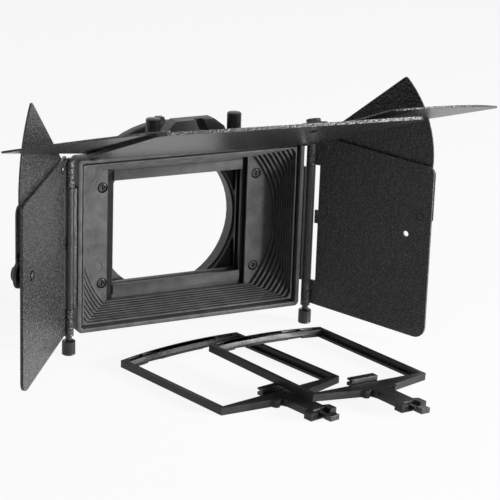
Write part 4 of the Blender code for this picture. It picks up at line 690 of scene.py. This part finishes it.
def build_floor():
    """A floor that glows and shows faint shadows where it is seen, and is plain grey elsewhere."""
    bm = bmesh.new()
    bmesh.ops.create_grid(bm, x_segments=1, y_segments=1, size=FLOOR_HALF)
    mesh = bpy.data.meshes.new("studio_floor")
    bm.to_mesh(mesh)
    bm.free()
    floor = bpy.data.objects.new("studio_floor", mesh)
    floor.location = (ORIGIN.x, ORIGIN.y, FLOOR_Z)
    bpy.context.scene.collection.objects.link(floor)
    mat = bpy.data.materials.new("studio_floor")
    mat.use_nodes = True
    tree = mat.node_tree
    tree.nodes.clear()
    out = tree.nodes.new("ShaderNodeOutputMaterial")
    plain = tree.nodes.new("ShaderNodeBsdfDiffuse")
    plain.inputs["Color"].default_value = (*FLOOR_UNSEEN, 1.0)
    faint = tree.nodes.new("ShaderNodeBsdfDiffuse")
    faint.inputs["Color"].default_value = (*FLOOR_SEEN, 1.0)
    glow = tree.nodes.new("ShaderNodeEmission")
    glow.inputs["Strength"].default_value = FLOOR_GLOW
    both = tree.nodes.new("ShaderNodeAddShader")
    tree.links.new(faint.outputs[0], both.inputs[0])
    tree.links.new(glow.outputs[0], both.inputs[1])
    mix = tree.nodes.new("ShaderNodeMixShader")
    tree.links.new(seen_directly(tree), mix.inputs["Fac"])
    tree.links.new(plain.outputs[0], mix.inputs[1])
    tree.links.new(both.outputs[0], mix.inputs[2])
    tree.links.new(mix.outputs[0], out.inputs["Surface"])
    mesh.materials.append(mat)


def seen_directly(tree):
    """1 for rays from the camera and for reflected and transmitted rays."""
    path = tree.nodes.new("ShaderNodeLightPath")
    first = tree.nodes.new("ShaderNodeMath")
    first.operation = "MAXIMUM"
    second = tree.nodes.new("ShaderNodeMath")
    second.operation = "MAXIMUM"
    tree.links.new(path.outputs["Is Camera Ray"], first.inputs[0])
    tree.links.new(path.outputs["Is Glossy Ray"], first.inputs[1])
    tree.links.new(first.outputs[0], second.inputs[0])
    tree.links.new(path.outputs["Is Transmission Ray"], second.inputs[1])
    return second.outputs[0]


def build_world():
    """A white world where it is seen and a faint one where it lights."""
    world = bpy.data.worlds.new("studio")
    world.use_nodes = True
    tree = world.node_tree
    back = tree.nodes["Background"]
    back.inputs["Color"].default_value = (1.0, 1.0, 1.0, 1.0)
    tree.links.new(spread(tree, seen_directly(tree), 0.0, 1.0, WORLD_LIGHT, 1.0),
                   back.inputs["Strength"])
    bpy.context.scene.world = world


def soft_light(name, place, power, size):
    """A square lamp that points at the middle of the hood."""
    lamp = bpy.data.lights.new(name, "AREA")
    lamp.shape = "SQUARE"
    lamp.size = size
    lamp.energy = power
    obj = bpy.data.objects.new(name, lamp)
    obj.location = ORIGIN + Vector(place)
    obj.rotation_euler = (-Vector(place)).to_track_quat("-Z", "Y").to_euler()
    bpy.context.scene.collection.objects.link(obj)


def build_camera():
    """The photograph's view: a long lens in front of the left side, a little above."""
    y, t, r = radians(CAMERA_YAW), radians(CAMERA_DOWN), radians(CAMERA_ROLL)
    ahead = Vector((sin(y) * cos(t), cos(y) * cos(t), -sin(t)))
    right0 = Vector((cos(y), -sin(y), 0.0))
    up0 = right0.cross(ahead)
    right = right0 * cos(r) + up0 * sin(r)
    up = up0 * cos(r) - right0 * sin(r)
    camera = bpy.data.cameras.new("camera")
    camera.lens = CAMERA_LENS
    camera.sensor_width = CAMERA_SENSOR
    camera.clip_start = 0.02
    camera.clip_end = 60.0
    obj = bpy.data.objects.new("camera", camera)
    turn = Matrix((right, up, -ahead)).transposed().to_4x4()
    turn.translation = ORIGIN + Vector(CAMERA_AT)
    obj.matrix_world = turn
    bpy.context.scene.collection.objects.link(obj)
    bpy.context.scene.camera = obj


build_hood()
for label in ("left", "right"):
    hinge_knob(label)
    thumb_screw(label)
toothed_nut("thumb_nut_side_left", "nut_left_turn", NUT_COLLAR_HEIGHT)
toothed_nut("thumb_nut_top_right", "nut_top_right_turn")

# The nodes rebuilt above. Every other node keeps its own shape.
REBUILT = {"hood", "hinge_knob_left", "hinge_knob_right", "thumb_screw_left",
           "thumb_screw_right", "thumb_nut_side_left", "thumb_nut_top_right"}
for node in sorted(NODES):
    if node in REBUILT:
        continue
    dressed(node, next((w for key, w in EDGES.items() if node.startswith(key)), OTHER_EDGES))

build_floor()
build_world()
soft_light("key", KEY_PLACE, KEY_POWER, KEY_SIZE)
soft_light("fill", FILL_PLACE, FILL_POWER, FILL_SIZE)
build_camera()
bpy.context.scene.view_settings.view_transform = "Standard"
